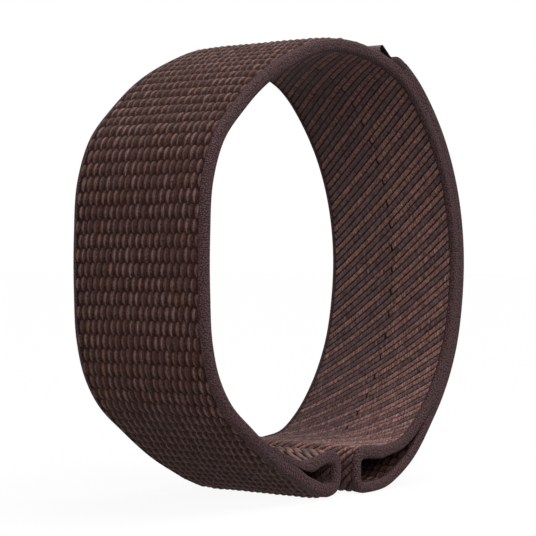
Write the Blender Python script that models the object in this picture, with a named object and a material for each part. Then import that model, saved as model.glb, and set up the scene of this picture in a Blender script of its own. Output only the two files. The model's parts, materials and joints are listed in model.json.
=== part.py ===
"""A one-piece hook and loop watch strap, closed into a ring with the watch taken off.

One woven strap is followed from end to end. It starts as a short fold-back inside the ring,
goes round the left bar loop, up the left arm, over the crown, down the right band, round the
right bar loop, and back up the outside of the band as the tail, which ends at the pull tab.

The ring lies in the X-Z plane and stands on Z = 0. The strap's width runs along Y, with the
near edge at -Y. Every piece is swept along the same line, so each one seats on the next.
Run it with: blender --background --python part.py
"""

import math

import bmesh
import bpy
from mathutils import Vector

# The closed ring, outside sizes, in metres
RING_WIDTH = 0.0612
RING_HEIGHT = 0.0633

# The woven strap
STRAP_WIDTH = 0.0225
STRAP_THICKNESS = 0.0020
PRESSED_THICKNESS = 0.0015  # under the tail, where the two pile faces press together
LINING_THICKNESS = 0.0006
SELVEDGE_WIDTH = 0.0008
SELVEDGE_ROUND_SHARE = 0.8  # of half the thickness
CLEARANCE = 0.0003  # between pieces that touch

# The rows of the pile face
ROW_PITCH = 0.00185
ROW_RISE = 0.00020  # how far a row stands above the selvedge where nothing presses it
GROOVE_DEPTH = 0.00022
GROOVE_WIDTH = 0.00045
ROW_SHOULDER = 0.00030

# The two bar loops, which stand side by side under the watch
LOOP_GAP = 0.0030
LOOP_GAP_X = 0.0010  # the middle of the gap between them
LEFT_LOOP_HEIGHT = 0.0064
RIGHT_LOOP_HEIGHT = 0.0059
LOOP_CORNER_RADIUS = 0.0015
LOOP_FLAT = 0.0016  # the straight run above and below each loop's wall
RIGHT_FOOT_LENGTH = 0.0020  # the level foot that the strap stands on
LEFT_CREST_LENGTH = 0.0026
FOLD_LENGTH = 0.0078
FOLD_TIP_THICKNESS = 0.0008
FOLD_CLEARANCE = 0.00015  # the tack presses the fold-back close to the arm
BARE_LENGTH = 0.0130  # from the fold-back's end, where no pile grows

# The tail
TAIL_TIP_LENGTH = 0.0030
TAIL_TIP_THICKNESS = 0.0004
TAIL_TIP_ROUND_SHARE = 0.4  # of the tip's thickness
TAIL_TIP_X = 0.0114  # where the tail ends, measured from the middle of the ring
HOOK_TAPE_LENGTH = 0.0220
LAY_DOWN_X = 0.0205  # where the tail comes to lie on the band

# The pull tab, a folded tape
TAB_LENGTH = 0.0027
TAB_HEIGHT = 0.0012
TAB_TAPE_THICKNESS = 0.0003
TAB_SIDE_MARGIN = 0.0006

# The bar tack that sews the fold-back down
TACK_LENGTH = 0.0012
TACK_HEIGHT = 0.0003
TACK_FROM_END = 0.0016

# Where the strap bends, as heights above the foot or places from the middle
ARM_BEND_HEIGHT = 0.0440
CROWN_BEND_X = -0.0010
TAIL_ROOT_HEIGHT = 0.0150
TAIL_PEEL_HEIGHT = 0.0330

# How finely the line is cut
LINE_STEP = 0.0001
LONGEST_STATION = 0.0026
STATION_TURN = math.radians(11)
SHARP_EDGE = math.radians(40)

# The ring's middle line from the left loop to the right one. Each pair is a share of half the
# ring's width, and a share of its height.
RING_SHARES = (
    (-0.262, 0.040),
    (-0.492, 0.098),
    (-0.670, 0.158),
    (-0.824, 0.219),
    (-0.901, 0.277),
    (-0.943, 0.344),
    (-0.960, 0.449),
    (-0.960, 0.561),
    (-0.936, 0.676),
    (-0.862, 0.757),
    (-0.724, 0.823),
    (-0.577, 0.880),
    (-0.349, 0.939),
    (-0.148, 0.971),
    (0.023, 0.978),
    (0.200, 0.970),
    (0.413, 0.939),
    (0.526, 0.905),
    (0.652, 0.846),
    (0.772, 0.768),
    (0.865, 0.672),
    (0.921, 0.532),
    (0.911, 0.429),
    (0.852, 0.309),
    (0.716, 0.1955),
    (0.603, 0.1385),
    (0.485, 0.101),
    (0.308, 0.084),
)
# The outer run's middle line from the right loop's foot to where it lies on the band.
RISE_SHARES = ((0.343, 0.019), (0.410, 0.032), (0.528, 0.0645))


def clear_scene():
    """Removes what a new file starts with."""
    for item in list(bpy.data.objects):
        bpy.data.objects.remove(item, do_unlink=True)


def smooth_curve(points, step):
    """Points along a smooth curve through the given ones, about one step apart."""
    spans = [math.dist(a, b) for a, b in zip(points, points[1:])]
    slopes = []
    for i in range(len(points)):
        near = max(i - 1, 0)
        far = min(i + 1, len(points) - 1)
        before = spans[near] if i else spans[0]
        after = spans[min(i, len(spans) - 1)]
        back = [(points[i][k] - points[near][k]) / before for k in (0, 1)]
        ahead = [(points[far][k] - points[i][k]) / after for k in (0, 1)]
        if i == 0:
            back = ahead
        if i == len(points) - 1:
            ahead = back
        total = before + after
        slopes.append([(back[k] * after + ahead[k] * before) / total for k in (0, 1)])
    curve = []
    for i, span in enumerate(spans):
        count = max(1, round(span / step))
        for j in range(count):
            t = j / count
            a = 2 * t**3 - 3 * t**2 + 1
            b = t**3 - 2 * t**2 + t
            c = 3 * t**2 - 2 * t**3
            d = t**3 - t**2
            near, far = points[i], points[i + 1]
            out, into = slopes[i], slopes[i + 1]
            curve.append(
                tuple(a * near[k] + c * far[k] + (b * out[k] + d * into[k]) * span for k in (0, 1))
            )
    curve.append(tuple(points[-1]))
    return curve


def rounded(points, radius, step):
    """A line through the given corners, each turned on an arc of the given radius."""
    line = [points[0]]
    for a, b, c in zip(points, points[1:], points[2:]):
        back = Vector(a) - Vector(b)
        ahead = Vector(c) - Vector(b)
        half = back.angle(ahead) / 2
        reach = min(radius / math.tan(half), back.length / 2, ahead.length / 2)
        turn = reach * math.tan(half)
        middle = Vector(b) + (back.normalized() + ahead.normalized()).normalized() * turn / math.sin(half)
        start = Vector(b) + back.normalized() * reach
        end = Vector(b) + ahead.normalized() * reach
        sweep = (start - middle).angle_signed(end - middle)
        count = max(2, math.ceil(abs(sweep) * turn / step))
        for j in range(count + 1):
            angle = -sweep * j / count
            spoke = start - middle
            x = spoke.x * math.cos(angle) - spoke.y * math.sin(angle)
            z = spoke.x * math.sin(angle) + spoke.y * math.cos(angle)
            line.append((middle.x + x, middle.y + z))
    line.append(points[-1])
    return line


def even(points, step):
    """The same line with a point at every step, so that its normals turn evenly."""
    line = [points[0]]
    for a, b in zip(points, points[1:]):
        count = max(1, round(math.dist(a, b) / step))
        for j in range(1, count + 1):
            line.append(tuple(a[k] + (b[k] - a[k]) * j / count for k in (0, 1)))
    return line


def normals(points):
    """The unit normal to the left of the direction of travel at each point."""
    result = []
    for i in range(len(points)):
        a = points[max(i - 1, 0)]
        b = points[min(i + 1, len(points) - 1)]
        length = math.dist(a, b)
        result.append((-(b[1] - a[1]) / length, (b[0] - a[0]) / length))
    return result


def beside(points, distance):
    """The line that runs beside another one, to the left where the distance is positive."""
    turned = normals(points)
    return [(p[0] + n[0] * distance, p[1] + n[1] * distance) for p, n in zip(points, turned)]


def without_repeats(points):
    """The line without points that fall on the one before."""
    line = [points[0]]
    for point in points[1:]:
        if math.dist(point, line[-1]) > LINE_STEP / 10:
            line.append(point)
    return line


def fold_thickness(s):
    """The fold-back's thickness: it swells from a thin end to the full strap."""
    share = s / FOLD_LENGTH
    return FOLD_TIP_THICKNESS + (STRAP_THICKNESS - FOLD_TIP_THICKNESS) * share * share


class Line:
    """The strap's middle line, read by the distance along it from the fold-back's end."""

    def __init__(self):
        ring = smooth_curve(
            [(x * RING_WIDTH / 2, z * RING_HEIGHT) for x, z in RING_SHARES], LINE_STEP
        )
        fold = self.fold_back(ring)
        left = self.left_loop(fold[-1], ring[0])
        right = self.right_loop(ring[-1])
        tail = self.tail(ring)
        rise = [(x * RING_WIDTH / 2, z * RING_HEIGHT) for x, z in RISE_SHARES]
        lead = tail[round(LOOP_FLAT / LINE_STEP)]
        outer = smooth_curve([right[-2], right[-1], *rise, tail[0], lead], LINE_STEP)
        start = min(range(len(outer)), key=lambda i: math.dist(outer[i], right[-1]))
        end = min(range(len(outer)), key=lambda i: math.dist(outer[i], tail[0]))
        runs = [fold, left, ring, right, outer[start:end], tail]
        self.points = even(without_repeats([p for run in runs for p in run]), LINE_STEP)
        self.points = self.centred(self.eased(self.points))
        self.normals = normals(self.points)
        self.lengths = [0.0]
        for a, b in zip(self.points, self.points[1:]):
            self.lengths.append(self.lengths[-1] + math.dist(a, b))
        self.length = self.lengths[-1]

    @staticmethod
    def eased(points):
        """The line with the small kinks where its runs meet smoothed away."""
        reach = max(1, round(STRAP_THICKNESS / LINE_STEP / 4))
        line = []
        for i in range(len(points)):
            span = min(reach, i, len(points) - 1 - i)
            near = points[i - span : i + span + 1]
            line.append(tuple(sum(p[k] for p in near) / len(near) for k in (0, 1)))
        return line

    @staticmethod
    def centred(points):
        """The line moved along X until its outer faces lie evenly about the origin."""
        low = min(p[0] for p in points) - STRAP_THICKNESS / 2 - ROW_RISE
        high = max(p[0] for p in points) + PRESSED_THICKNESS / 2
        return [(x - (low + high) / 2, z) for x, z in points]

    @staticmethod
    def fold_back(ring):
        """The run that lies on the left arm, from its end to the valley by the loop."""
        lengths = 0.0
        line = []
        turned = normals(ring)
        for i, point in enumerate(ring):
            if i:
                lengths += math.dist(point, ring[i - 1])
            if lengths > FOLD_LENGTH:
                break
            off = STRAP_THICKNESS / 2 + FOLD_CLEARANCE + fold_thickness(FOLD_LENGTH - lengths) / 2
            line.append((point[0] - turned[i][0] * off, point[1] - turned[i][1] * off))
        return line[::-1]

    @staticmethod
    def left_loop(start, end):
        """From the valley over the crest, down the wall and along the foot to the arm."""
        wall = LOOP_GAP_X - (LOOP_GAP + STRAP_THICKNESS) / 2
        crest = LEFT_LOOP_HEIGHT - STRAP_THICKNESS / 2
        foot = STRAP_THICKNESS / 2 + ROW_RISE
        corners = [
            start,
            (wall - LEFT_CREST_LENGTH, crest),
            (wall, crest),
            (wall, foot),
            (wall - LOOP_CORNER_RADIUS - LOOP_FLAT, foot),
            end,
        ]
        return rounded(corners, LOOP_CORNER_RADIUS, LINE_STEP)

    @staticmethod
    def right_loop(start):
        """Along the band's floor, down the wall and along the foot."""
        wall = LOOP_GAP_X + (LOOP_GAP + PRESSED_THICKNESS) / 2
        floor = RIGHT_LOOP_HEIGHT - PRESSED_THICKNESS / 2
        foot = PRESSED_THICKNESS / 2
        corners = [
            start,
            (wall + LOOP_CORNER_RADIUS + LOOP_FLAT, floor),
            (wall, floor),
            (wall, foot),
            (wall + LOOP_CORNER_RADIUS + RIGHT_FOOT_LENGTH, foot),
        ]
        line = rounded(corners, LOOP_CORNER_RADIUS, LINE_STEP)
        return line[1:]

    @staticmethod
    def tail(ring):
        """The outer run where it lies on the band, from the bottom to its tip."""
        start = max(i for i in range(len(ring)) if ring[i][0] > LAY_DOWN_X)
        end = min(
            i for i in range(len(ring)) if ring[i][0] > TAIL_TIP_X and ring[i][1] > RING_HEIGHT / 2
        )
        run = ring[end : start + 1]
        return beside(run, PRESSED_THICKNESS + CLEARANCE)[::-1]

    def index(self, s):
        low, high = 0, len(self.lengths) - 1
        while high - low > 1:
            middle = (low + high) // 2
            if self.lengths[middle] <= s:
                low = middle
            else:
                high = middle
        return low

    def at(self, s, offset=0.0):
        """The point at a distance along the line, moved to its left by the offset."""
        i = self.index(min(max(s, 0.0), self.length))
        j = min(i + 1, len(self.points) - 1)
        span = self.lengths[j] - self.lengths[i]
        t = (s - self.lengths[i]) / span if span else 0.0
        n = [self.normals[i][k] * (1 - t) + self.normals[j][k] * t for k in (0, 1)]
        length = math.hypot(*n)
        p = [self.points[i][k] * (1 - t) + self.points[j][k] * t for k in (0, 1)]
        return p[0] + n[0] / length * offset, p[1] + n[1] / length * offset

    def angle(self, s):
        """The direction of the normal, as an angle."""
        n = self.normals[self.index(s)]
        return math.atan2(n[1], n[0])

    def nearest(self, test, low, high):
        """The distance along the line, between two others, at which a test is smallest."""
        first, last = self.index(low), self.index(high)
        best = min(range(first, last + 1), key=lambda i: test(self.points[i]))
        return self.lengths[best]


class Strap:
    """The line, with the places along it that the pieces share."""

    def __init__(self):
        line = Line()
        self.line = line
        gap_side = (LOOP_GAP_X + LOOP_GAP / 2, RIGHT_LOOP_HEIGHT / 2)
        self.wall = line.nearest(lambda p: math.dist(p, gap_side), 0.0, line.length)
        top = line.nearest(lambda p: -p[1], 0.0, self.wall)
        left_foot = line.nearest(lambda p: p[1], FOLD_LENGTH, top)
        self.arm_bend = line.nearest(lambda p: abs(p[1] - ARM_BEND_HEIGHT), left_foot, top)
        self.crown_bend = line.nearest(
            lambda p: abs(p[0] - CROWN_BEND_X) - p[1], self.arm_bend, self.wall
        )
        self.root_bend = line.nearest(
            lambda p: abs(p[1] - TAIL_ROOT_HEIGHT), self.wall, line.length - TAIL_TIP_LENGTH
        )
        self.peel_bend = line.nearest(
            lambda p: abs(p[1] - TAIL_PEEL_HEIGHT), self.root_bend, line.length - TAIL_TIP_LENGTH
        )
        corner = LOOP_GAP_X + (LOOP_GAP + PRESSED_THICKNESS) / 2 + LOOP_CORNER_RADIUS
        eased = STRAP_THICKNESS / 4
        self.foot_ends = [
            line.nearest(lambda p, x=x: math.dist(p, (x, 0.0)), self.wall, line.length)
            for x in (corner + eased, corner + RIGHT_FOOT_LENGTH - eased)
        ]
        self.tip_start = line.length - TAIL_TIP_LENGTH
        self.hook_start = self.tip_start - HOOK_TAPE_LENGTH
        tip = line.at(line.length)
        self.press_start = line.nearest(lambda p: math.dist(p, tip), self.arm_bend, self.wall)

    def thickness(self, s):
        """The strap is thin at the fold-back's end, full in the open and pressed when closed."""
        if s < FOLD_LENGTH:
            return fold_thickness(s)
        share = min(max((s - self.press_start) / ROW_PITCH / 2, 0.0), 1.0)
        share = share * share * (3 - 2 * share)
        return STRAP_THICKNESS + (PRESSED_THICKNESS - STRAP_THICKNESS) * share

    def rise(self, s):
        """How far the rows stand proud: nothing on the fold-back or under the tail."""
        end = min(max((self.press_start - s) / ROW_PITCH, 0.0), 1.0)
        return ROW_RISE * min(self.grown(s), end)

    def grown(self, s):
        """The share of the pile that has grown: none on the fold-back, all of it on the arm."""
        return min(max((s - BARE_LENGTH) / ROW_PITCH, 0.0), 1.0)

    def stations(self, start, end):
        """Places for the sweep's rings: close together only where the line turns."""
        places = [start]
        last_angle = self.line.angle(start)
        s = start
        while s < end - LINE_STEP * 2:
            s += LINE_STEP
            turn = abs((self.line.angle(s) - last_angle + math.pi) % (2 * math.pi) - math.pi)
            foot = any(s - LINE_STEP < end_of_foot <= s for end_of_foot in self.foot_ends)
            if foot or turn > STATION_TURN or s - places[-1] > LONGEST_STATION:
                places.append(s)
                last_angle = self.line.angle(s)
        if end - places[-1] < LINE_STEP * 4 and len(places) > 1:
            places.pop()
        places.append(end)
        return places

    def rows(self, start, end):
        """Places and heights for the pile's rows: a groove, then a shouldered crest."""
        places = [(start, 0.0)]
        count = max(1, round((end - start) / ROW_PITCH))
        pitch = (end - start) / count
        for i in range(count):
            foot = start + i * pitch
            places.append((foot + GROOVE_WIDTH / 2, 0.0))
            places.append((foot + GROOVE_WIDTH / 2 + ROW_SHOULDER, 1.0))
            places.append((foot + pitch - GROOVE_WIDTH / 2 - ROW_SHOULDER, 1.0))
            places.append((foot + pitch - GROOVE_WIDTH / 2, 0.0))
        places.append((end, 0.0))
        return places


def material(name, color, roughness):
    """A matt woven material."""
    made = bpy.data.materials.new(name)
    made.use_nodes = True
    shader = made.node_tree.nodes["Principled BSDF"]
    shader.inputs["Base Color"].default_value = (*color, 1.0)
    shader.inputs["Roughness"].default_value = roughness
    shader.inputs["Metallic"].default_value = 0.0
    return made


def node(name, mesh, surface, pivot=None):
    """Names a mesh, gives it its material, and hangs it on the pivot of its joint."""
    bmesh.ops.recalc_face_normals(mesh, faces=mesh.faces)
    data = bpy.data.meshes.new(name)
    mesh.to_mesh(data)
    mesh.free()
    data.materials.append(surface)
    data.shade_smooth()
    data.set_sharp_from_angle(angle=SHARP_EDGE)
    made = bpy.data.objects.new(name, data)
    bpy.context.collection.objects.link(made)
    if pivot:
        made.parent = pivot
        made.matrix_parent_inverse = pivot.matrix_world.inverted()
    return made


def pivot_at(name, point, parent=None):
    """An empty on a joint's axis, which runs along the strap's width."""
    made = bpy.data.objects.new(name, None)
    made.location = (point[0], 0.0, point[1])
    made.empty_display_size = STRAP_WIDTH / 4
    bpy.context.collection.objects.link(made)
    bpy.context.view_layer.update()
    if parent:
        made.parent = parent
        made.matrix_parent_inverse = parent.matrix_world.inverted()
        bpy.context.view_layer.update()
    print(f"pivot {name}: x {point[0]:.5f} z {point[1]:.5f}")
    return made


def sweep(line, sections):
    """Joins profiles along the line. Each section is a place and a list of (offset, y) points."""
    mesh = bmesh.new()
    rings = []
    for s, profile in sections:
        ring = []
        for offset, y in profile:
            x, z = line.at(s, offset)
            ring.append(mesh.verts.new((x, y, z)))
        rings.append(ring)
    for a, b in zip(rings, rings[1:]):
        for i in range(len(a)):
            j = (i + 1) % len(a)
            mesh.faces.new((a[i], a[j], b[j], b[i]))
    mesh.faces.new(rings[0][::-1])
    mesh.faces.new(rings[-1])
    return mesh


def web_half_width():
    """Half the width of a woven face between the two selvedges."""
    return STRAP_WIDTH / 2 - SELVEDGE_WIDTH - CLEARANCE


def pile(strap, start, end):
    """The loop pile's face, with its rows across the strap."""
    half = web_half_width()
    sections = []
    for s, crest in strap.rows(start, end):
        thick = strap.thickness(s)
        low = -thick / 2 + LINING_THICKNESS * thick / STRAP_THICKNESS + CLEARANCE
        groove = GROOVE_DEPTH * (1 - crest) * strap.grown(s)
        high = thick / 2 + strap.rise(s) * crest - groove
        sections.append((s, [(low, -half), (low, half), (high, half), (high, -half)]))
    return sweep(strap.line, sections)


def lining(strap, start, end):
    """The smooth woven face that lies on the skin."""
    half = web_half_width()
    sections = []
    for s in strap.stations(start, end):
        thick = strap.thickness(s)
        low = -thick / 2
        high = low + LINING_THICKNESS * thick / STRAP_THICKNESS
        sections.append((s, [(low, -half), (low, half), (high, half), (high, -half)]))
    return sweep(strap.line, sections)


def selvedge(strap, start, end, side):
    """The finely knitted edge, round on the outside, that closes both faces."""
    inside = side * (STRAP_WIDTH / 2 - SELVEDGE_WIDTH)
    outside = side * STRAP_WIDTH / 2
    sections = []
    for s in strap.stations(start, end):
        half = strap.thickness(s) / 2
        round_off = half * SELVEDGE_ROUND_SHARE
        bevel = round_off * (1 - math.sqrt(0.5))
        profile = [
            (-half, inside),
            (-half, outside - side * round_off),
            (-half + bevel, outside - side * bevel),
            (-half + round_off, outside),
            (half - round_off, outside),
            (half - bevel, outside - side * bevel),
            (half, outside - side * round_off),
            (half, inside),
        ]
        sections.append((s, profile))
    return sweep(strap.line, sections)


def band(strap, name, start, end, surfaces, pivot=None, pile_end=None):
    """One length of the strap: its pile, its lining and its two selvedges."""
    low = start + CLEARANCE / 2
    high = end - CLEARANCE / 2
    pile_high = pile_end - CLEARANCE / 2 if pile_end else high
    node(f"{name}_pile", pile(strap, low, pile_high), surfaces["pile"], pivot)
    node(f"{name}_lining", lining(strap, low, high), surfaces["lining"], pivot)
    node(f"{name}_near_selvedge", selvedge(strap, low, high, -1), surfaces["selvedge"], pivot)
    node(f"{name}_far_selvedge", selvedge(strap, low, high, 1), surfaces["selvedge"], pivot)


def hook_tape(strap, surfaces, pivot):
    """The stiff hook tape that takes the pile's place under the end of the tail."""
    half = web_half_width()
    sections = []
    for s in strap.stations(strap.hook_start + CLEARANCE / 2, strap.tip_start - CLEARANCE / 2):
        thick = strap.thickness(s)
        low = -thick / 2 + LINING_THICKNESS * thick / STRAP_THICKNESS + CLEARANCE
        sections.append((s, [(low, -half), (low, half), (thick / 2, half), (thick / 2, -half)]))
    node("hook_tape", sweep(strap.line, sections), surfaces["hook"], pivot)


def tail_tip(strap, surfaces, pivot):
    """The pressed end of the tail, full width, whose outer face curves down to the crown."""
    start = strap.tip_start + CLEARANCE / 2
    span = strap.line.length - start
    half_width = STRAP_WIDTH / 2
    sections = []
    count = 8
    for i in range(count + 1):
        share = math.sin(math.pi / 2 * i / count)
        s = start + span * share
        fall = math.sqrt(1 - share * share)
        thick = TAIL_TIP_THICKNESS + (PRESSED_THICKNESS - TAIL_TIP_THICKNESS) * fall
        high = PRESSED_THICKNESS / 2
        low = high - thick
        corner = thick * TAIL_TIP_ROUND_SHARE
        cut = corner * (1 - math.sqrt(0.5))
        profile = [
            (low, -half_width + corner),
            (low, half_width - corner),
            (low + cut, half_width - cut),
            (low + corner, half_width),
            (high - corner, half_width),
            (high - cut, half_width - cut),
            (high, half_width - corner),
            (high, -half_width + corner),
            (high - cut, -half_width + cut),
            (high - corner, -half_width),
            (low + corner, -half_width),
            (low + cut, -half_width + cut),
        ]
        sections.append((s, profile))
    node("tail_tip", sweep(strap.line, sections), surfaces["selvedge"], pivot)


def pull_tab(strap, surfaces, pivot):
    """A tape folded into a loop, gripped by the end of the tail and standing off the crown."""
    tip = Vector(strap.line.at(strap.line.length, PRESSED_THICKNESS / 2 - TAIL_TIP_THICKNESS / 2))
    before = Vector(strap.line.at(strap.line.length - TAIL_TIP_LENGTH / 4, 0.0))
    end = Vector(strap.line.at(strap.line.length, 0.0))
    along = (end - before).normalized()
    up = Vector((along.y, -along.x))
    base = tip + along * CLEARANCE
    fold = TAB_HEIGHT / 2
    outer = []
    inner = []
    steps = 6
    reach = TAB_LENGTH - fold
    outer.append((0.0, 0.0))
    inner.append((0.0, TAB_TAPE_THICKNESS))
    for i in range(steps + 1):
        angle = -math.pi / 2 + math.pi * i / steps
        outer.append((reach + fold * math.cos(angle), fold + fold * math.sin(angle)))
        small = fold - TAB_TAPE_THICKNESS
        inner.append((reach + small * math.cos(angle), fold + small * math.sin(angle)))
    outer.append((0.0, TAB_TAPE_THICKNESS * 2 + CLEARANCE))
    inner.append((0.0, TAB_TAPE_THICKNESS + CLEARANCE))
    profile = outer + inner[::-1]
    half = STRAP_WIDTH / 2 - TAB_SIDE_MARGIN
    drop = TAIL_TIP_THICKNESS / 2
    mesh = bmesh.new()
    rings = []
    for y in (-half, half):
        ring = []
        for reach_out, height in profile:
            place = base + along * reach_out + up * (height - drop)
            ring.append(mesh.verts.new((place.x, y, place.y)))
        rings.append(ring)
    a, b = rings
    for i in range(len(a)):
        j = (i + 1) % len(a)
        mesh.faces.new((a[i], a[j], b[j], b[i]))
    mesh.faces.new(a[::-1])
    mesh.faces.new(b)
    node("pull_tab", mesh, surfaces["tab"], pivot)


def fold_tack(strap, surfaces, pivot):
    """The dense bar of stitches across the fold-back that holds the left loop closed."""
    half = web_half_width()
    start = TACK_FROM_END
    sections = []
    for s in (start, start + TACK_LENGTH / 4, start + TACK_LENGTH * 3 / 4, start + TACK_LENGTH):
        edge = s in (start, start + TACK_LENGTH)
        low = strap.thickness(s) / 2 + CLEARANCE
        high = low + (TACK_HEIGHT / 2 if edge else TACK_HEIGHT)
        sections.append((s, [(low, -half), (low, half), (high, half), (high, -half)]))
    node("fold_tack", sweep(strap.line, sections), surfaces["thread"], pivot)


def build():
    """Models the strap from the ring's root outwards."""
    clear_scene()
    strap = Strap()
    line = strap.line
    surfaces = {
        "pile": material("pile", (0.050, 0.028, 0.024), 0.85),
        "lining": material("lining", (0.060, 0.030, 0.028), 0.80),
        "selvedge": material("selvedge", (0.052, 0.031, 0.034), 0.75),
        "hook": material("hook", (0.020, 0.014, 0.014), 0.45),
        "tab": material("tab", (0.085, 0.062, 0.058), 0.60),
        "thread": material("thread", (0.045, 0.027, 0.028), 0.65),
    }
    outside = STRAP_THICKNESS / 2 + ROW_RISE
    crown = pivot_at("crown_pivot", line.at(strap.crown_bend, outside))
    arm = pivot_at("arm_pivot", line.at(strap.arm_bend, outside), crown)
    root = pivot_at("tail_root_pivot", line.at(strap.root_bend, -PRESSED_THICKNESS / 2))
    peel = pivot_at("tail_peel_pivot", line.at(strap.peel_bend, -PRESSED_THICKNESS / 2), root)
    tab = pivot_at("tab_pivot", line.at(line.length, PRESSED_THICKNESS / 2 - TAIL_TIP_THICKNESS), peel)
    band(strap, "left_arm", 0.0, strap.arm_bend, surfaces, arm)
    band(strap, "shoulder", strap.arm_bend, strap.crown_bend, surfaces, crown)
    band(strap, "band", strap.crown_bend, strap.root_bend, surfaces)
    band(strap, "tail_root", strap.root_bend, strap.peel_bend, surfaces, root)
    band(strap, "tail", strap.peel_bend, strap.tip_start, surfaces, peel, strap.hook_start)
    fold_tack(strap, surfaces, arm)
    hook_tape(strap, surfaces, peel)
    tail_tip(strap, surfaces, peel)
    pull_tab(strap, surfaces, tab)
    print(f"strap length {line.length:.4f}, tail {line.length - strap.wall:.4f}")


build()
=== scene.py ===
# %% [markdown]
# A one-piece hook and loop watch strap, closed into a ring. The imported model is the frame: it
# gives every piece its place and its joints. This script dresses it. It swaps each plain solid
# for cloth with real bars, cords, stitches and hooks, and then sets the light and the camera.

# %% Load the frame
import json
import math

import bmesh
import bpy
import numpy as np
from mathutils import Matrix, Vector


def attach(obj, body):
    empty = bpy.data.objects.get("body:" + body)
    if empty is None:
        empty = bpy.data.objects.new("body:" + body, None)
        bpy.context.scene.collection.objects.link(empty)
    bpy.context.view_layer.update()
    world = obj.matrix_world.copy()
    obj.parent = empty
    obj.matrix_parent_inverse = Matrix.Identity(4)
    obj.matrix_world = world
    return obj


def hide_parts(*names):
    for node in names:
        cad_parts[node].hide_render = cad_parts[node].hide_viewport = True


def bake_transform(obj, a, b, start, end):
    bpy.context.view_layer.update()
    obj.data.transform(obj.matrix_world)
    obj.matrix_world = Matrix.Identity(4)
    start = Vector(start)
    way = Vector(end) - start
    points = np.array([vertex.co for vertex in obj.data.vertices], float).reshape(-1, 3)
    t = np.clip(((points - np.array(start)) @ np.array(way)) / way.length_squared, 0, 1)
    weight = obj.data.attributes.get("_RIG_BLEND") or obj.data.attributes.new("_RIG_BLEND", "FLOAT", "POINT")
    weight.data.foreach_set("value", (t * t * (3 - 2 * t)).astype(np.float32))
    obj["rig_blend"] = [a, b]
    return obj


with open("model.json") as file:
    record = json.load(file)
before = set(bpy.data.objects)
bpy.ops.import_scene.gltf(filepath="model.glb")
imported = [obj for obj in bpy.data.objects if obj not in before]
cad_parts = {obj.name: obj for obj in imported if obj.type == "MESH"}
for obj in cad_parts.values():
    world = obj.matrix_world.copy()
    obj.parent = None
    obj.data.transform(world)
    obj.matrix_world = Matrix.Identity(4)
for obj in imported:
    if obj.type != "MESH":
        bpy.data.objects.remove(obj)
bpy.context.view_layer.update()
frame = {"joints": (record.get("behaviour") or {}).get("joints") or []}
scene = bpy.context.scene
joints = {joint["name"]: joint for joint in frame["joints"]}

# %% [markdown]
# All sizes are in metres. Most of them repeat the model's, because the cloth has to lie on the
# same line. A few follow the real strap more closely than closed solids can: the fold-back is
# longer and thinner at its end, the roofs of the loops swell and dip, the right loop is a little
# higher, and the tail lies closer to the band and is thinner at its tip.
#
# The strap is followed by one number, the distance along it from the hidden end of the
# fold-back: round the left loop, up the arm, over the crown, down the band, round the right
# loop and up the tail. "Outer" is the pile's face and "inner" is the lining's. Places could be
# given as x and z instead, but one number stays true however the strap is bent.

# %% Sizes of the strap
RING_WIDTH = 0.0612
RING_HEIGHT = 0.0633
STRAP_WIDTH = 0.0225
STRAP_THICKNESS = 0.0020
PRESSED_THICKNESS = 0.0015  # where the tail and the band lie on each other
CLEARANCE = 0.0003
ROW_PITCH = 0.00185  # from one row of the pile to the next
ROW_RISE = 0.00020  # how far the pile stands above the edges
LINE_STEP = 0.0001

# The two bar loops
LOOP_GAP = 0.0030
LOOP_GAP_X = 0.0010
LEFT_LOOP_HEIGHT = 0.0064
RIGHT_LOOP_HEIGHT = 0.0066
LOOP_CORNER_RADIUS = 0.0015
LOOP_FLAT = 0.0016
RIGHT_FOOT_LENGTH = 0.0020
LEFT_CREST_LENGTH = 0.0026
CREST_THICKNESS = 0.0016
ROOF_SWELL = 0.0004  # the band is thicker over the right loop
ROOF_LENGTH = 0.012

# The fold-back, and how far cords cover the outer face before the pile starts
FOLD_LENGTH = 0.0092
FOLD_TIP_THICKNESS = 0.0004
FOLD_THICKNESS = 0.00195
FOLD_CLEARANCE = 0.00002
VALLEY_LIFT = 0.0007  # how far the fold-back rises off the arm towards the loop
TOP_CORDS_END = FOLD_LENGTH + 0.0026
BARE_LENGTH = 0.0144

# The tail
LAYER_GAP = 0.00012
TAPER_LENGTH = 0.010
TAPER = 0.00035  # how much thinner the tail is at its tip
TAIL_TIP_LENGTH = 0.0030
TAIL_TIP_THICKNESS = 0.0004
TAIL_TIP_X = 0.0114
LAY_DOWN_X = 0.0205
HOOK_TAPE_LENGTH = 0.0220

# The ring's middle line: a share of half the ring's width, and a share of its height
RING_SHARES = (
    (-0.262, 0.040), (-0.492, 0.098), (-0.670, 0.158), (-0.824, 0.219), (-0.901, 0.277),
    (-0.943, 0.344), (-0.960, 0.449), (-0.960, 0.561), (-0.938, 0.676), (-0.867, 0.7585),
    (-0.729, 0.827), (-0.580, 0.883), (-0.349, 0.939), (-0.148, 0.971), (0.023, 0.978),
    (0.200, 0.970), (0.413, 0.939), (0.526, 0.905), (0.652, 0.846), (0.772, 0.768),
    (0.865, 0.672), (0.921, 0.532), (0.911, 0.429), (0.852, 0.309), (0.716, 0.1955),
    (0.603, 0.1385), (0.485, 0.101), (0.308, 0.084),
)
RISE_SHARES = ((0.343, 0.019), (0.410, 0.032), (0.528, 0.0645))

# %% [markdown]
# Two kinds of line are enough for a folded strap. Open cloth hangs in a smooth curve, and cloth
# that is folded round a bar turns on an arc. Blender's own curves could draw both, but a script
# can't easily ask such a curve for a place on it. Plain lists of points are simpler here, since
# every piece asks them where it lies and which way is outwards.


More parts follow.
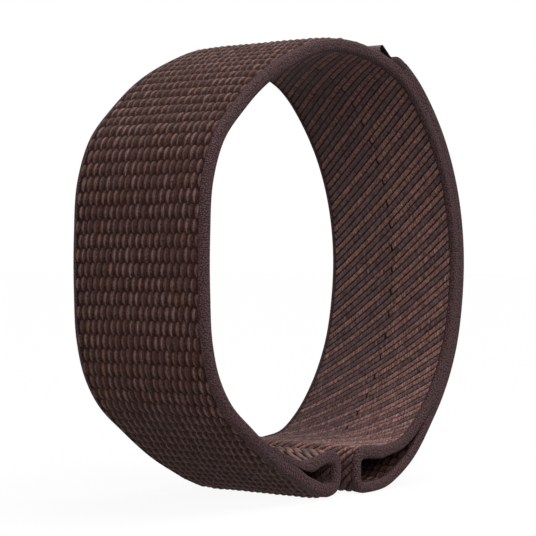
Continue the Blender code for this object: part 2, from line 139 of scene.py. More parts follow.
# %% Helpers for lines
def smooth_curve(points, step):
    """Points along a smooth curve through the given ones, about one step apart."""
    points = [np.array(p) for p in points]
    spans = [np.linalg.norm(b - a) for a, b in zip(points, points[1:])]
    chords = [(b - a) / span for a, b, span in zip(points, points[1:], spans)]
    slopes = [chords[0]]
    for (near, far), (before, after) in zip(zip(chords, chords[1:]), zip(spans, spans[1:])):
        slopes.append((near * after + far * before) / (before + after))
    slopes.append(chords[-1])
    curve = []
    for i, span in enumerate(spans):
        leaving, arriving = span * slopes[i], span * slopes[i + 1]
        count = max(1, round(span / step))
        for t in np.arange(count) / count:
            start = (2 * t**3 - 3 * t**2 + 1) * points[i] + (t**3 - 2 * t**2 + t) * leaving
            end = (3 * t**2 - 2 * t**3) * points[i + 1] + (t**3 - t**2) * arriving
            curve.append(start + end)
    return curve + [points[-1]]


def rounded(corners, radius, step):
    """A line through the given corners, each turned on an arc."""
    line = [np.array(corners[0])]
    for a, b, c in zip(corners, corners[1:], corners[2:]):
        back, ahead = Vector(a) - Vector(b), Vector(c) - Vector(b)
        half = back.angle(ahead) / 2
        reach = min(radius / math.tan(half), back.length / 2, ahead.length / 2)
        turn = reach * math.tan(half)
        start = Vector(b) + back.normalized() * reach
        end = Vector(b) + ahead.normalized() * reach
        inwards = (back.normalized() + ahead.normalized()).normalized()
        middle = Vector(b) + inwards * turn / math.sin(half)
        sweep = (start - middle).angle_signed(end - middle)
        count = max(2, math.ceil(abs(sweep) * turn / step))
        for j in range(count + 1):
            angle = -sweep * j / count
            cosine, sine = math.cos(angle), math.sin(angle)
            x, z = start - middle
            line.append(np.array(middle) + (x * cosine - z * sine, x * sine + z * cosine))
    return line + [np.array(corners[-1])]


def normals_of(points):
    """The unit normal to the left of the way along a line, at each point."""
    points = np.array(points)
    ways = np.empty_like(points)
    ways[1:-1] = points[2:] - points[:-2]
    ways[0], ways[-1] = points[1] - points[0], points[-1] - points[-2]
    ways /= np.linalg.norm(ways, axis=1)[:, None]
    return np.stack((-ways[:, 1], ways[:, 0]), axis=1)


# %% [markdown]
# The strap is woven flat and gets its shape by being folded. Its middle line is made of runs in
# the same way: the fold-back lies on the arm, the two loops are corners turned on arcs, the ring
# is one smooth curve, and the tail is the ring's own curve moved outwards by one thickness. A
# cloth simulation could fold a flat strip too, but it would settle a little differently after
# every change of a size, and the pieces would no longer lie where the model has them.


# %% The runs of the line
def fold_thickness(s):
    """The fold-back's thickness: it swells from a thin end to the full strap."""
    share = s / FOLD_LENGTH
    return FOLD_TIP_THICKNESS + (FOLD_THICKNESS - FOLD_TIP_THICKNESS) * share * share


def fold_back(ring):
    """The run that lies on the left arm and ends at the valley by the loop."""
    reach = np.cumsum([0.0, *np.linalg.norm(np.diff(ring, axis=0), axis=1)])
    keep = reach <= FOLD_LENGTH
    places = FOLD_LENGTH - reach
    lift = FOLD_CLEARANCE + VALLEY_LIFT * np.clip(places / FOLD_LENGTH, 0, 1) ** 6
    off = STRAP_THICKNESS / 2 + lift + fold_thickness(places) / 2
    return list((np.array(ring) - normals_of(ring) * off[:, None])[keep][::-1])


def left_loop(start, end):
    """From the valley over the crest, down the wall and along the foot."""
    wall = LOOP_GAP_X - (LOOP_GAP + STRAP_THICKNESS) / 2
    crest = LEFT_LOOP_HEIGHT - CREST_THICKNESS / 2
    foot = STRAP_THICKNESS / 2 + ROW_RISE
    corners = [start, (wall - LEFT_CREST_LENGTH, crest), (wall, crest), (wall, foot)]
    corners += [(wall - LOOP_CORNER_RADIUS - LOOP_FLAT, foot), end]
    return rounded(corners, LOOP_CORNER_RADIUS, LINE_STEP)


def right_loop(start):
    """Along the band's floor, down the wall and along the foot."""
    wall = LOOP_GAP_X + (LOOP_GAP + PRESSED_THICKNESS) / 2
    floor = RIGHT_LOOP_HEIGHT - (PRESSED_THICKNESS + ROOF_SWELL) / 2
    foot = PRESSED_THICKNESS / 2
    corners = [start, (wall + LOOP_CORNER_RADIUS + LOOP_FLAT, floor), (wall, floor), (wall, foot)]
    corners.append((wall + LOOP_CORNER_RADIUS + RIGHT_FOOT_LENGTH, foot))
    return rounded(corners, LOOP_CORNER_RADIUS, LINE_STEP)[1:]


def tail_run(ring, right):
    """From the right loop's foot up to the band, and then along the band to the tail's end."""
    first = min(i for i, p in enumerate(ring) if p[0] > TAIL_TIP_X and p[1] > RING_HEIGHT / 2)
    last = max(i for i, p in enumerate(ring) if p[0] > LAY_DOWN_X)
    run = np.array(ring[first : last + 1])
    tail = list((run + normals_of(run) * (PRESSED_THICKNESS + LAYER_GAP))[::-1])
    rise = [(x * RING_WIDTH / 2, z * RING_HEIGHT) for x, z in RISE_SHARES]
    lead = tail[round(LOOP_FLAT / LINE_STEP)]
    outer = smooth_curve([right[-2], right[-1], *rise, tail[0], lead], LINE_STEP)
    start = min(range(len(outer)), key=lambda i: math.dist(outer[i], right[-1]))
    end = min(range(len(outer)), key=lambda i: math.dist(outer[i], tail[0]))
    return outer[start:end] + tail


# %% The strap's middle line
def evened(line):
    """The same line without doubled points or long gaps between points."""
    points = [line[0]]
    for point in line[1:]:
        gap = math.dist(point, points[-1])
        if gap > LINE_STEP / 10:
            count = max(1, round(gap / LINE_STEP))
            last_point = points[-1]
            points += [last_point + (point - last_point) * j / count for j in range(1, count + 1)]
    return np.array(points)


def softened(points):
    """The same line with each point at the mean of those around it, so no corner is sharp."""
    reach = max(1, round(STRAP_THICKNESS / LINE_STEP / 4))
    spans = [min(reach, i, len(points) - 1 - i) for i in range(len(points))]
    return np.array([points[i - n : i + n + 1].mean(axis=0) for i, n in enumerate(spans)])


def whole_line():
    """The middle line from the fold-back's end to the tail's, and where the ring starts on it."""
    scaled = [(x * RING_WIDTH / 2, z * RING_HEIGHT) for x, z in RING_SHARES]
    ring = smooth_curve(scaled, LINE_STEP)
    fold = fold_back(ring)
    left = left_loop(tuple(fold[-1]), tuple(ring[0]))
    right = right_loop(ring[-1])
    points = softened(evened(fold + left + ring + right + tail_run(ring, right)))
    low = points[:, 0].min() - STRAP_THICKNESS / 2 - ROW_RISE
    high = points[:, 0].max() + PRESSED_THICKNESS / 2 + CLEARANCE - LAYER_GAP
    middle = np.array(((low + high) / 2, 0.0))
    return points - middle, ring[0] - middle


line_points, ring_start = whole_line()
line_normals = normals_of(line_points)
line_places = np.cumsum([0.0, *np.linalg.norm(np.diff(line_points, axis=0), axis=1)])
LENGTH = line_places[-1]
print(f"strap length {LENGTH:.4f} m, {len(line_points)} points")

# %% [markdown]
# Every piece asks the line where a place lies. The model's joints are looked up on the line too,
# so the cloth bends where the model does. Their places could be typed in, but they would be
# wrong as soon as a size of the ring changed.


# %% Places on the line
def at(s, offset=0.0):
    """The point at a distance along the line, moved to its outer side by the offset."""
    x, z, nx, nz = (
        np.interp(s, line_places, values) for values in (*line_points.T, *line_normals.T)
    )
    size = math.hypot(nx, nz)
    return x + nx / size * offset, z + nz / size * offset


def nearest(place, low=0.0, high=LENGTH):
    """The distance along the line, between two limits, where it is nearest to a place."""
    gaps = [
        math.dist(p, place) if low <= s <= high else math.inf
        for p, s in zip(line_points, line_places)
    ]
    return line_places[int(np.argmin(gaps))]


def place_of(joint, low, high):
    """Where along the line a joint of the model bends it."""
    x, _, z = joints[joint]["pos_m"]
    return nearest((x, z), low, high)


RING_START = nearest(ring_start)
RIGHT_WALL = nearest((LOOP_GAP_X + LOOP_GAP / 2, RIGHT_LOOP_HEIGHT / 2))
TIP_START = LENGTH - TAIL_TIP_LENGTH
HOOK_START = TIP_START - HOOK_TAPE_LENGTH
ARM_BEND = place_of("arm_flex", FOLD_LENGTH, RIGHT_WALL)
CROWN_BEND = place_of("crown_flex", ARM_BEND, RIGHT_WALL)
ROOT_BEND = place_of("tail_root_peel", RIGHT_WALL, TIP_START)
PEEL_BEND = place_of("tail_peel", ROOT_BEND, TIP_START)
PRESS_START = nearest(line_points[-1], ARM_BEND, RIGHT_WALL)
joint_places = {"arm": ARM_BEND, "crown": CROWN_BEND, "root": ROOT_BEND, "peel": PEEL_BEND}
for name, place in joint_places.items():
    print(f"{name} bend at {place:.4f}, x {at(place)[0]:.4f} z {at(place)[1]:.4f}")

# %% [markdown]
# The real strap isn't equally thick. It thins at its hidden end and at its tip, it is pressed
# where the tail and the band lie on each other, and it swells over the right loop. A table of
# thicknesses could say so, but each change here is a share that runs smoothly from 0 to 1, so
# no step shows in the cloth and every change keeps its own size.


# %% Thickness along the strap
def smooth_share(value):
    """0 below 0, 1 above 1, and smooth in between."""
    share = min(max(value, 0.0), 1.0)
    return share * share * (3 - 2 * share)


def half_thickness(s):
    """Half the strap's thickness, without the pile that stands proud of it."""
    if s < FOLD_LENGTH:
        return fold_thickness(s) / 2
    crest = smooth_share((s - FOLD_LENGTH) / LOOP_CORNER_RADIUS)
    crest *= 1 - smooth_share((s - TOP_CORDS_END) / LOOP_CORNER_RADIUS)
    pressed = smooth_share((s - PRESS_START) / ROW_PITCH / 2)
    roof = smooth_share((s - RIGHT_WALL + ROOF_LENGTH) / ROOF_LENGTH * 2)
    roof *= 1 - smooth_share((s - RIGHT_WALL) / LOOP_CORNER_RADIUS + 2)
    tip = smooth_share((s - TIP_START) / TAPER_LENGTH + 1)
    thickness = STRAP_THICKNESS + (CREST_THICKNESS - STRAP_THICKNESS) * crest
    thickness += (PRESSED_THICKNESS - STRAP_THICKNESS) * pressed + ROOF_SWELL * roof - TAPER * tip
    return thickness / 2


def pile_rise(s):
    """How far the pile stands above the edge: nothing on the fold-back or where it is pressed."""
    grown = min(max((s - BARE_LENGTH) / ROW_PITCH, 0.0), 1.0)
    free = min(max((PRESS_START - s) / ROW_PITCH, 0.0), 1.0)
    return ROW_RISE * min(grown, free)


thickest = max(half_thickness(s) for s in line_places) * 2
print(f"the cloth is {thickest * 1000:.2f} mm thick where it is thickest")

# %% [markdown]
# Node trees are written as plain Python here. A Wire is an output socket, and a sum or a
# product of wires adds the Math nodes for it. One method, Graph.node, makes every other node,
# in materials and in Geometry Nodes alike. The trees could also be drawn in Blender's node
# editor, but then nobody could read them here, change a number or build them again.


# %% Helper for node trees
class Wire:
    """An output socket that Python's arithmetic works on."""

    def __init__(self, graph, socket):
        self.graph = graph
        self.socket = socket

    def also(self, output):
        """Another output of the same node."""
        outputs = self.socket.node.outputs
        return Wire(self.graph, next(s for s in outputs if s.name == output and s.enabled))

    def maths(self, operation, *others, swap=False):
        """A Math node on this wire and the others, or on them in turned order."""
        values = [self, *others]
        if swap:
            values.reverse()
        numbered = dict(enumerate(values))
        return self.graph.node("ShaderNodeMath", {"operation": operation}, numbered)

    def __add__(self, other):
        return self.maths("ADD", other)

    def __sub__(self, other):
        return self.maths("SUBTRACT", other)

    def __rsub__(self, other):
        return self.maths("SUBTRACT", other, swap=True)

    def __mul__(self, other):
        return self.maths("MULTIPLY", other)

    def __truediv__(self, other):
        return self.maths("DIVIDE", other)

    __radd__ = __add__
    __rmul__ = __mul__

    def smooth(self, low, high):
        """0 at low, 1 at high and smooth in between."""
        values = {"Value": self, "From Min": low, "From Max": high}
        return self.graph.node("ShaderNodeMapRange", {"interpolation_type": "SMOOTHSTEP"}, values)


class Graph:
    """A node tree, with one way to make any node."""

    def __init__(self, tree):
        self.tree = tree

    @staticmethod
    def socket(sockets, key):
        """A socket by its number or by its name, which only one enabled socket has."""
        if isinstance(key, int):
            return sockets[key]
        return next(s for s in sockets if s.name == key and s.enabled)

    def node(self, kind, settings=None, values=None, output=0):
        """Makes a node, sets it up, fills or links its inputs, and gives one output or none."""
        made = self.tree.nodes.new(kind)
        for name, value in (settings or {}).items():
            setattr(made, name, value)
        for key, value in (values or {}).items():
            socket = self.socket(made.inputs, key)
            if isinstance(value, Wire):
                self.tree.links.new(value.socket, socket)
            else:
                socket.default_value = value
        return None if output is None else Wire(self, self.socket(made.outputs, output))

    def vector(self, x, y, z):
        """A vector of three numbers or wires."""
        return self.node("ShaderNodeCombineXYZ", None, {0: x, 1: y, 2: z})

    def vectors(self, operation, a, b):
        """A Vector Math node on two vectors."""
        return self.node("ShaderNodeVectorMath", {"operation": operation}, {0: a, 1: b})

    def scaled(self, vector, amount):
        """A vector or a colour times a number."""
        values = {0: vector, "Scale": amount}
        return self.node("ShaderNodeVectorMath", {"operation": "SCALE"}, values)

    def mixed(self, share, a, b):
        """Colour a where the share is 0 and colour b where it is 1."""
        values = {"Factor": share, "A": a, "B": b}
        return self.node("ShaderNodeMix", {"data_type": "RGBA"}, values, "Result")

    def attribute(self, name):
        """A number that the piece's own points carry."""
        return self.node("ShaderNodeAttribute", {"attribute_name": name}, None, "Fac")

    def cloth_places(self):
        """The two numbers of the piece's own map."""
        places = self.node("ShaderNodeUVMap", {"uv_map": "cloth"})
        parts = self.node("ShaderNodeSeparateXYZ", None, {0: places})
        return parts, parts.also("Y")

    def object_places(self):
        """The place on the piece, in metres."""
        return self.node("ShaderNodeTexCoord", None, None, "Object")

    def noise(self, vector, scale, detail=2.0):
        """Soft noise between 0 and 1."""
        values = {"Vector": vector, "Scale": scale, "Detail": detail}
        return self.node("ShaderNodeTexNoise", None, values)


# %% [markdown]
# Every yarn of the strap is matt polyester, and the hooks are nylon. One function makes all the
# looks, since only their colour, roughness and relief differ. A picture of cloth could be
# wrapped round the strap, but it would blur close up and need a map without seams. Noise in the
# shader stays sharp, and it never repeats. Colours are linear.

# %% A matt cloth
CLOTH_SHINE = 0.2
looks = {}


def emptied(data):
    """The graph of a new material or world, without the nodes that it starts with."""
    data.use_nodes = True
    data.node_tree.nodes.clear()
    return Graph(data.node_tree)


def add_look(key, name, paint):
    """A matt cloth. paint gives its colour, roughness, height and the height's real depth."""
    looks[key] = bpy.data.materials.new(name)
    graph = emptied(looks[key])
    color, roughness, height, depth = paint(graph)
    normal = graph.node("ShaderNodeBump", None, {"Distance": depth, "Height": height})
    values = {"Base Color": color, "Roughness": roughness, "Normal": normal}
    values["Specular IOR Level"] = CLOTH_SHINE
    surface = graph.node("ShaderNodeBsdfPrincipled", None, values)
    graph.node("ShaderNodeOutputMaterial", None, {"Surface": surface}, None)
    print(name, "has", len(graph.tree.nodes), "nodes")


# %% [markdown]
# The pile's bars are bundles of fine filaments, some tan and some purple-grey, over a dark
# red-brown ground. A narrow streak of light on top of each bundle is painted in as a highlight,
# and the rest of the bundle is painted dim as shade.
# Every filament could be a hair, but that would take a hundred thousand of them. Noise that is
# drawn out along the bar gives the same strands, as colour and as relief. Two numbers that each
# bar carries, tone and warm, keep it from looking like the next.

# %% The looks of the pile
FILAMENT = 0.00007
TAN_YARN = (0.208, 0.101, 0.074, 1)
GREY_YARN = (0.224, 0.135, 0.124, 1)
# the colour of the painted shade on the sides of the bars
BAR_SHADE_YARN = (0.060, 0.023, 0.018, 1)
GROUND_YARN = (0.020, 0.0045, 0.0030, 1)
SPECK_YARN = (0.080, 0.030, 0.020, 1)


def paint_bars(graph):
    """A painted highlight: a narrow lit streak of filaments on each bar, with painted shade on its sides
    among red-brown specks.
    """
    across, along = graph.cloth_places()
    tone, warm = graph.attribute("tone"), graph.attribute("warm")
    strands = graph.noise(graph.vector(across * 4.6, along * 0.35, tone * 50), 1.0, 1.0)
    specks = graph.noise(graph.object_places(), 3600.0, 2.0)
    plain = graph.mixed(warm * 0.8 + tone * 0.2, GREY_YARN, TAN_YARN)
    lit = graph.scaled(plain, tone * 0.35 + strands.smooth(0.36, 0.64) * 0.60 + specks * 0.4)
    # painted shade: the sides of each bar are darkened, mixed with red-brown specks
    bar_side_shade = graph.mixed((specks - across * across * 0.25).smooth(0.24, 0.52), GROUND_YARN, BAR_SHADE_YARN)
    # painted highlight: a narrow lit streak along the middle of each bar, fading towards its ends
    aside = across + (tone - 0.5) * 0.4
    painted_streak = 1.05 - aside * aside * 6.5 - along * along * 0.8 + (specks - 0.5) * 2.1
    color = graph.mixed(painted_streak.smooth(0.0, 1.1), bar_side_shade, lit)
    return color, 0.60 + specks * 0.25, strands + specks * 0.8, FILAMENT * 2


def paint_ground(graph):
    """The dark weave under the pile, with red-brown specks of binding yarn."""
    places = graph.object_places()
    specks = graph.noise(places, 2600.0, 2.0)
    color = graph.mixed(specks.smooth(0.52, 0.74), GROUND_YARN, SPECK_YARN)
    return color, 0.85 + specks * 0.1, specks, FILAMENT * 2


add_look("bars", "pile_bars", paint_bars)
add_look("ground", "pile_ground", paint_ground)

# %% [markdown]
# The lining's cords are plied yarns, pink-orange or purple-grey. Their stitches are big enough to
# see, so a later step makes them as real beads. The material adds only what is smaller: plies,
# pale flecks, and painted shade on the sides and ends of each stitch, darkest where one cord dips
# beside the next. A stripe pattern on flat cloth would have been quicker, but the cords' outline
# shows at the strap's bends. Low down, inside the bar loops, the cords are painted darker as
# shade, since little light gets in there. The cords on top of the fold-back are lighter and
# smoother, with painted shade on their sides, and each is painted lighter towards one side.

# %% The looks of the lining
PINK_CORD = (0.370, 0.200, 0.178, 1)
GREY_CORD = (0.262, 0.160, 0.160, 1)
# the colour of the painted shade where the cords dip
CORD_SHADE = (0.075, 0.024, 0.020, 1)
TOP_CORD = (0.310, 0.190, 0.172, 1)
# painted shade: below these heights the cords are darkened
LOOP_SHADE_HEIGHTS = (0.003, 0.0065)  # between them the cords brighten on their way out


def paint_cords(graph):
    """Plied stitches, pink-orange or purple-grey, flecked, with painted shade where they dip and painted
    shade low down in the loops.
    """
    across, along = graph.cloth_places()
    tone, warm = graph.attribute("tone"), graph.attribute("warm")
    places = graph.object_places()
    plies = graph.noise(graph.vector(across * 1.6, along * 1.6, tone * 70), 1.0, 2.0)
    beads = graph.noise(graph.vector(across * 0.5, along * 2.2, tone * 90), 1.0, 1.0)
    specks = graph.noise(places, 3300.0, 2.0)
    flecks = specks.smooth(0.40, 0.66) * 0.5 + beads.smooth(0.42, 0.60) * 0.5
    patches = graph.noise(places, 1300.0, 1.0)
    plain = graph.mixed((warm * 0.9 + patches * 0.5 - 0.2).smooth(0.0, 1.0), GREY_CORD, PINK_CORD)
    light = 0.10 + tone * 0.25 + plies.smooth(0.30, 0.70) * 0.40 + flecks * (0.35 + warm * 0.45)
    # painted shade, darker towards the bottom: low down, inside the bar loops, the cords are darkened
    height = graph.node("ShaderNodeSeparateXYZ", None, {0: places}, 2)
    painted_loop_shade = 1.0 - height.smooth(*LOOP_SHADE_HEIGHTS)
    lit = graph.scaled(plain, light * (1.0 - painted_loop_shade * 0.6))
    # painted shade on the sides and ends of each stitch, darkest where one cord dips beside the next
    cord_side_shade = (across * across).smooth(0.20, 0.70)
    top = (1.0 - cord_side_shade * (0.65 + warm * 0.30)) * (1.0 - along * along * 0.25)
    color = graph.mixed(top + (flecks - 0.5) * 0.15, CORD_SHADE, lit)
    return color, 0.60 + plies * 0.25, plies + flecks * 0.8, FILAMENT * 2


def paint_top_cords(graph):
    """The lighter, smooth cords on top of the fold-back, each painted lighter towards one side, with painted
    shade on its sides.
    """
    across, along = graph.cloth_places()
    tone, warm = graph.attribute("tone"), graph.attribute("warm")
    plies = graph.noise(graph.vector(across * 1.6, along * 0.8, tone * 20), 1.0, 2.0)
    flecks = graph.noise(graph.object_places(), 2800.0, 2.0)
    plain = graph.mixed(warm * 0.6, TOP_CORD, PINK_CORD)
    # painted light: each cord is painted lighter towards one side
    lit = graph.scaled(plain, plies * 0.36 + flecks * 0.28 + (0.25 - across * 0.25))
    # painted shade: the sides of each cord fall to the dark ground colour
    top = 1.0 - across * across + flecks * 0.3
    color = graph.mixed(top.smooth(0.50, 1.15), GROUND_YARN, lit)
    return color, 0.60 + plies * 0.25, plies + flecks * 0.3, FILAMENT


add_look("cords", "lining_cords", paint_cords)
add_look("top_cords", "fold_top_cords", paint_top_cords)

# %% [markdown]
# Both edges of the strap are knitted so finely that a stitch is a quarter of a millimetre long.
# As geometry the stitches would nearly double the faces of the strap. So the edge gets a plain
# round body, and a Voronoi texture on its own map draws uneven blobs of purple-pink yarn, each
# lighter or darker by chance, with a line of painted shade in the groove beside the lining.

# %% The look of the edges
EDGE_LIGHT = (0.162, 0.085, 0.091, 1)
EDGE_DARK = (0.028, 0.010, 0.011, 1)
EDGE_STITCH_LENGTH = 0.00024
EDGE_STITCH_WIDTH = 0.00034
# painted shade: the width of the dark line in the groove beside the lining
EDGE_GROOVE_SHADE = 0.00016  # the dark line beside the lining


def paint_edge(graph):
    """Fine, uneven knitting: small blobs of purple-pink yarn, each lighter or darker, with a painted shade
    line beside the lining.
    """
    along, across = graph.cloth_places()
    spot = graph.vector(along / EDGE_STITCH_LENGTH, across / EDGE_STITCH_WIDTH, 0.0)
    values = {"Vector": spot, "Scale": 1.0, "Randomness": 0.9}
    blobs = graph.node("ShaderNodeTexVoronoi", {"voronoi_dimensions": "2D"}, values, "Distance")
    chance = graph.node("ShaderNodeSeparateXYZ", None, {0: blobs.also("Color")})
    fibres = graph.noise(graph.object_places(), 5200.0, 2.0)
    patches = graph.noise(graph.object_places(), 700.0, 1.0)
    round_top = 1.0 - blobs.smooth(0.10, 0.72)
    light = round_top * (0.35 + chance * 0.55) + fibres * 0.35 - 0.10
    # painted shade: a dark line in the groove beside the lining
    groove_shade = across.smooth(0.0, EDGE_GROOVE_SHADE)
    color = graph.mixed(light * groove_shade * (0.65 + patches * 0.6), EDGE_DARK, EDGE_LIGHT)
    return color, 0.65 + chance * 0.2, round_top + fibres * 0.4, FILAMENT * 2


add_look("edge", "knitted_edge", paint_edge)

# %% [markdown]
# The hooks are dark nylon, a little shinier than the yarns. The pull tab is a tape in a close
# plain weave. Real threads would be too fine to see on it, so two ping-pong waves across each
# other draw the warp and the weft. The tab's hollow and its two closed ends are painted nearly
# black as shade, and get their own look.

# %% The looks of the hooks and the tab
HOOK_YARN = (0.030, 0.022, 0.021, 1)
TAB_LIGHT = (0.230, 0.170, 0.165, 1)
TAB_DARK = (0.070, 0.044, 0.042, 1)
# the colour of the painted shade in the tab's hollow and on its closed ends
TAB_HOLLOW_SHADE = (0.006, 0.004, 0.004, 1)


def paint_hooks(graph):
    """Dark nylon, slightly shiny."""
    tone = graph.attribute("tone")
    color = graph.scaled(graph.mixed(tone, HOOK_YARN, EDGE_DARK), 0.7 + tone * 0.8)
    return color, 0.40 + tone * 0.1, tone, FILAMENT


def paint_tab(graph):
    """A close plain weave, worn lighter in patches."""
    along, across = graph.cloth_places()
    warp = (across / EDGE_STITCH_WIDTH).maths("PINGPONG", 0.5)
    weft = (along / EDGE_STITCH_WIDTH).maths("PINGPONG", 0.5)
    tab_mottling = graph.noise(graph.object_places(), 900.0, 2.0)
    light = warp * 0.5 + weft * 0.5 + tab_mottling * 0.7
    return graph.mixed(light, TAB_DARK, TAB_LIGHT), 0.5 + tab_mottling * 0.2, warp + weft, FILAMENT


def paint_tab_hollow_shade(graph):
    """Painted shade: the hollow of the folded tape and its closed ends, nearly black."""
    tab_mottling = graph.noise(graph.object_places(), 3000.0, 1.0)
    return graph.mixed(tab_mottling * 0.3, TAB_HOLLOW_SHADE, EDGE_DARK), 0.8 + tab_mottling * 0.1, tab_mottling, FILAMENT


add_look("hooks", "nylon_hooks", paint_hooks)
add_look("tab", "folded_tape", paint_tab)
add_look("tab_hollow_shade", "folded_tape_hollow_shade", paint_tab_hollow_shade)

# %% [markdown]
# A woven strap has a body that its bars and cords stand on. It is swept along the line as one
# closed strip. A curve with a bevel could sweep it too, but such a curve keeps one section all
# the way, and this strap changes its thickness. So each section is drawn where it lies, and
# the sections are joined. The map called cloth holds metres along the strap and round the
# section, so stitches keep their size.

# %% Sweeping a section along the line
SWEEP_STEP = 0.0004


def placed(name, data):
    """An object with the given data, put in the scene."""
    made = bpy.data.objects.new(name, data)
    scene.collection.objects.link(made)
    return made


def smooth_mesh(name, mesh):
    """A finished bmesh as mesh data that is shaded smooth."""
    data = bpy.data.meshes.new(name)
    mesh.to_mesh(data)
    mesh.free()
    data.shade_smooth()
    return data


def mesh_piece(name, mesh, look):
    """A finished bmesh as an object with one look."""
    data = smooth_mesh(name, mesh)
    data.materials.append(look)
    return placed(name, data)


def skin(mesh, rings, places_along, seam_map):
    """Joins closed rings of points into a tube with ends, and maps it in metres."""
    made = [[mesh.verts.new(point) for point in ring] for ring in rings]
    count = len(made[0])
    for a, b, near, far in zip(made, made[1:], places_along, places_along[1:]):
        ring_length = 0.0
        for i in range(count):
            j = (i + 1) % count
            side = (a[i].co - a[j].co).length
            face = mesh.faces.new((a[i], a[j], b[j], b[i]))
            corners = ((near, ring_length), (near, ring_length + side))
            corners += ((far, ring_length + side), (far, ring_length))
            for loop, corner in zip(face.loops, corners):
                loop[seam_map].uv = corner
            ring_length += side
    for ring in (made[0][::-1], made[-1]):
        face = mesh.faces.new(ring)
        for loop in face.loops:
            loop[seam_map].uv = (loop.vert.co.y, loop.vert.co.z)


def evenly(start, end):
    """Places for a sweep's sections from one end to the other."""
    return list(np.linspace(start, end, max(2, round((end - start) / SWEEP_STEP))))


def swept(name, places, profile, look):
    """A piece swept along the line. The profile gives the points (offset, y) at a place."""
    mesh = bmesh.new()
    seam_map = mesh.loops.layers.uv.new("cloth")
    rings = []
    for s in places:
        ring = [(at(s, offset), y) for offset, y in profile(s)]
        rings.append([(x, y, z) for (x, z), y in ring])
    skin(mesh, rings, places, seam_map)
    bmesh.ops.recalc_face_normals(mesh, faces=mesh.faces)
    return mesh_piece(name, mesh, look)


# %% [markdown]
# Two sections run along the whole strap. The ground is a flat strip, a little thinner than the
# cloth, because the bars and cords on it make up the rest. The knitted edge is flat towards the
# ground and round outside. Both could be parts of one section, but the edge has a look of its
# own. Where two layers lie on each other their edges close, as they do on the real strap: there
# the round corners between them draw in until hardly any gap is left to look through.

# %% The sections of the ground and the edges
WEB_HALF_WIDTH = 0.01055
WEB_DEPTH = 0.00022
BAR_HEIGHT = 0.00042
EDGE_CORNER_POINTS = 5
EDGE_ROUND_SHARE = 0.62
EDGE_REACH = 0.00006  # how far the edges of the closed layers press into the gap between them
EDGE_SINK = 0.00012  # how far the near edge and the bars beside both edges lie below the rest
FAR_SINK_SHARE = 0.4  # the far edge lies lower by this share of it
EDGE_CLOSED_HEIGHT = 0.0085
EDGE_CLOSING_LENGTH = 0.0040
FOLDED_DRAW_IN = 0.96  # the share of a round corner that is lost between fold-back and arm
CLOSED_DRAW_IN = 0.85  # and between tail and band


def ground_profile(s):
    """The strip that the bars and cords stand on."""
    low = -half_thickness(s) + WEB_DEPTH
    high = max(half_thickness(s) + pile_rise(s) - BAR_HEIGHT, low + FILAMENT)
    half = WEB_HALF_WIDTH + FILAMENT
    return [(low, -half), (low, half), (high, half), (high, -half)]


def closed_share(s):
    """How far the tail and the band are closed on each other at a place, from 0 to 1."""
    if s < PRESS_START:
        return 0.0
    return smooth_share((at(s)[1] - EDGE_CLOSED_HEIGHT) / EDGE_CLOSING_LENGTH)


def folded_share(s):
    """How far the fold-back and the arm under it are closed on each other, from 0 to 1."""
    from_valley = FOLD_LENGTH - s if s < FOLD_LENGTH else s - RING_START
    beyond = (FOLD_LENGTH - from_valley) / EDGE_CLOSING_LENGTH + 1.0
    return smooth_share(from_valley / EDGE_CLOSING_LENGTH) * smooth_share(beyond)


def edge_profile(side):
    """The section of one knitted edge: flat towards the web and round outside."""
    inside, outside = side * (WEB_HALF_WIDTH - FILAMENT), side * STRAP_WIDTH / 2
    sink_share = 1.0 if side < 0 else FAR_SINK_SHARE
    quarter = np.radians(np.linspace(0, 90, EDGE_CORNER_POINTS))

    def profile(s):
        half = half_thickness(s)
        closed = closed_share(s)
        to_band = PRESSED_THICKNESS / 2 + EDGE_REACH
        sink = EDGE_SINK * pile_rise(s) / ROW_RISE * sink_share
        outer = half + (to_band - half) * closed - sink
        radius = half * EDGE_ROUND_SHARE
        inner_radius = radius * (1 - FOLDED_DRAW_IN * folded_share(s))
        outer_radius = radius * (1 - CLOSED_DRAW_IN * closed)
        points = [(-half, inside)]
        for angle in quarter:
            y = outside - side * inner_radius * (1 - math.sin(angle))
            points.append((-half + inner_radius * (1 - math.cos(angle)), y))
        for angle in quarter[::-1]:
            y = outside - side * outer_radius * (1 - math.sin(angle))
            points.append((outer - outer_radius * (1 - math.cos(angle)), y))
        return points + [(outer, inside)]

    return profile


# %% [markdown]
# The bars and the cords' stitches are repeated thousands of times, so Geometry Nodes place
# them. A tree makes one point for each bar, reads where it lies from the strap's line, and
# sets a small bar there. An array along a curve could repeat a bar too, but then all its copies
# would be alike. The line goes in as a mesh of edges that also holds how high the pile and the
# cords stand at each place, and the tree turns it into a curve to measure along.

# %% The line that the trees read
STITCH_HEIGHT = 0.00036
HOOK_HEIGHT = 0.00030
STRETCH_LIMITS = (0.35, 1.7)  # how far a bar or stitch may shrink or stretch in a bend


